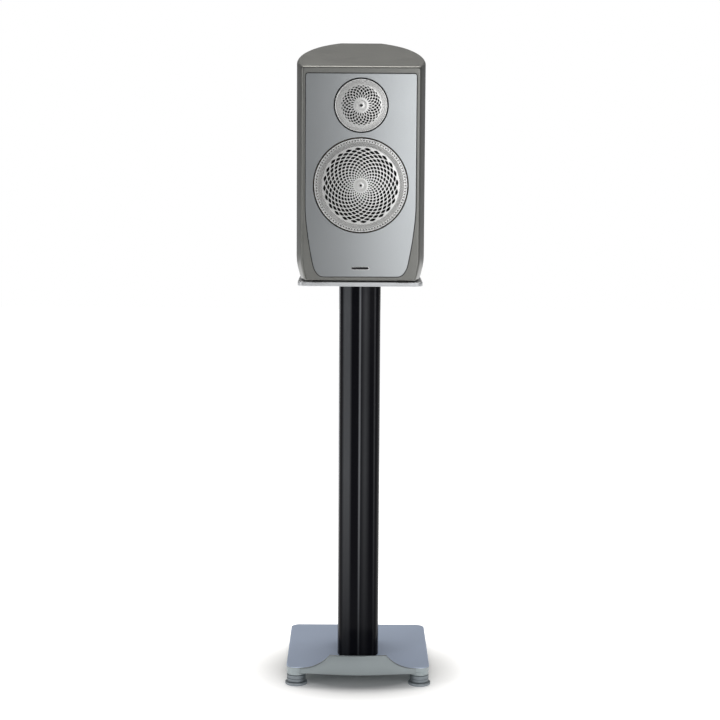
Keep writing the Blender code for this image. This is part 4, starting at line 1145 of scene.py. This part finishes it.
# ---------------------------------------------------------------- stage
class SPEAKER_OT_stage(Operator):
    """The floor, the soft studio light and the camera"""
    bl_idname = "speaker.stage"
    bl_label = "Stage"

    def light(self, name, place, aim, size, power, shade=(1, 1, 1), spread=180.0):
        """A soft rectangular light at a place, turned to its aim."""
        lamp = bpy.data.lights.new(name, "AREA")
        lamp.shape, lamp.size, lamp.size_y = "RECTANGLE", *size
        lamp.energy, lamp.color, lamp.spread = power, shade, math.radians(spread)
        obj = bpy.data.objects.new(name, lamp)
        obj.location = place
        obj.rotation_euler = (Vector(aim) - Vector(place)).to_track_quat("-Z", "Y").to_euler()
        obj.visible_camera = False
        bpy.context.scene.collection.objects.link(obj)

    def execute(self, context):
        s = context.scene.speaker_stage
        count = 25
        side = np.linspace(-6.0, 6.0, count)
        x, y = np.meshgrid(side, side + 1.0, indexing="ij")
        floor = Finish("pale floor", Specular_IOR_Level=0.1, Emission_Strength=0.9)
        cloud = floor.noise(1.5, 3.0)
        away = floor.node("ShaderNodeVectorMath", {"operation": "LENGTH"}, floor.place,
                          output="Value")
        # the floor's own light begins clear of the base and ends in front of it
        lift = ((away - 0.12) * 7.0).clamped() * ((floor.axes()[1] + 0.9) * 1.6).clamped()
        floor.feed(Base_Color=floor.mix(cloud, shaded(s.floor, 0.985), shaded(s.floor, 1.01)),
                   Roughness=cloud * 0.1 + 0.7,
                   Emission_Color=floor.mix(lift, (0.0, 0.0, 0.0), (1.0, 1.0, 1.0)))
        mesh = bpy.data.meshes.new("floor")
        index = np.arange(count * count).reshape(count, count)
        faces = np.stack([index[:-1, :-1], index[1:, :-1], index[1:, 1:], index[:-1, 1:]], -1)
        mesh.from_pydata(np.stack([x, y, 0 * x], -1).reshape(-1, 3).tolist(), [],
                         faces.reshape(-1, 4).tolist())
        mesh.materials.append(floor.material)
        obj = bpy.data.objects.new("floor", mesh)
        context.scene.collection.objects.link(obj)

        world = bpy.data.worlds.new("studio")
        context.scene.world = world
        world.use_nodes = True
        nodes, links = world.node_tree.nodes, world.node_tree.links
        backdrop = nodes["Background"]
        backdrop.inputs["Color"].default_value = (1, 1, 1, 1)
        room = nodes.new("ShaderNodeBackground")
        room.inputs["Color"].default_value = (0.97, 0.98, 1.0, 1)
        room.inputs["Strength"].default_value = 0.16
        path, mix = nodes.new("ShaderNodeLightPath"), nodes.new("ShaderNodeMixShader")
        links.new(path.outputs["Is Camera Ray"], mix.inputs[0])
        links.new(room.outputs[0], mix.inputs[1])
        links.new(backdrop.outputs[0], mix.inputs[2])
        links.new(mix.outputs[0], nodes["World Output"].inputs["Surface"])

        aim = (0, 0, 0.9)
        self.light("key right", (1.15, -3.7, 1.25), aim, (2.0, 2.2), 33)
        self.light("fill left", (-2.4, -1.7, 1.2), aim, (0.8, 2.2), 14)
        self.light("overhead", (0, 0.6, 2.9), (0, 0.2, 0), (2.4, 2.0), 17, (1.0, 0.975, 0.93), 95.0)

        camera = bpy.data.cameras.new("camera")
        camera.lens, camera.sensor_width, camera.shift_y = s.lens, 36.0, -0.03
        camera.clip_end = 50.0
        obj = bpy.data.objects.new("camera", camera)
        place = Matrix.Translation((CAMERA_SIDE, FRONT_Y - s.distance, s.height))
        obj.matrix_world = (place @ Matrix.Rotation(CAMERA_YAW, 4, "Z")
                            @ Matrix.Rotation(math.pi / 2 - s.pitch, 4, "X")
                            @ Matrix.Rotation(CAMERA_ROLL, 4, "Z"))
        context.scene.collection.objects.link(obj)
        context.scene.camera = obj
        context.scene.view_settings.view_transform = "Standard"
        return {"FINISHED"}


OPERATORS = (SPEAKER_OT_cabinet, SPEAKER_OT_panel, SPEAKER_OT_covers, SPEAKER_OT_rear,
             SPEAKER_OT_column, SPEAKER_OT_base, SPEAKER_OT_finishes, SPEAKER_OT_stage)


class SPEAKER_PT_sidebar(Panel):
    """The loudspeaker's pieces, with their sizes and colours"""
    bl_idname = "SPEAKER_PT_sidebar"
    bl_label = "Compact Loudspeaker"
    bl_space_type = "VIEW_3D"
    bl_region_type = "UI"
    bl_category = "Loudspeaker"

    def draw(self, context):
        for operator in OPERATORS:
            self.layout.operator(operator.bl_idname)
        for group, kind in GROUPS.items():
            box = self.layout.box()
            box.label(text=group.replace("speaker_", "").capitalize())
            for name in kind.__annotations__:
                box.prop(getattr(context.scene, group), name)


def register():
    for kind in (*GROUPS.values(), *OPERATORS, SPEAKER_PT_sidebar):
        bpy.utils.register_class(kind)
    for name, kind in GROUPS.items():
        setattr(bpy.types.Scene, name, PointerProperty(type=kind))


def unregister():
    for name in GROUPS:
        delattr(bpy.types.Scene, name)
    for kind in (SPEAKER_PT_sidebar, *reversed(OPERATORS), *reversed(GROUPS.values())):
        bpy.utils.unregister_class(kind)


def main():
    """Makes every piece in order."""
    register()
    for operator in OPERATORS:
        group, name = operator.bl_idname.split(".")
        getattr(getattr(bpy.ops, group), name)()


if __name__ == "__main__":
    main()
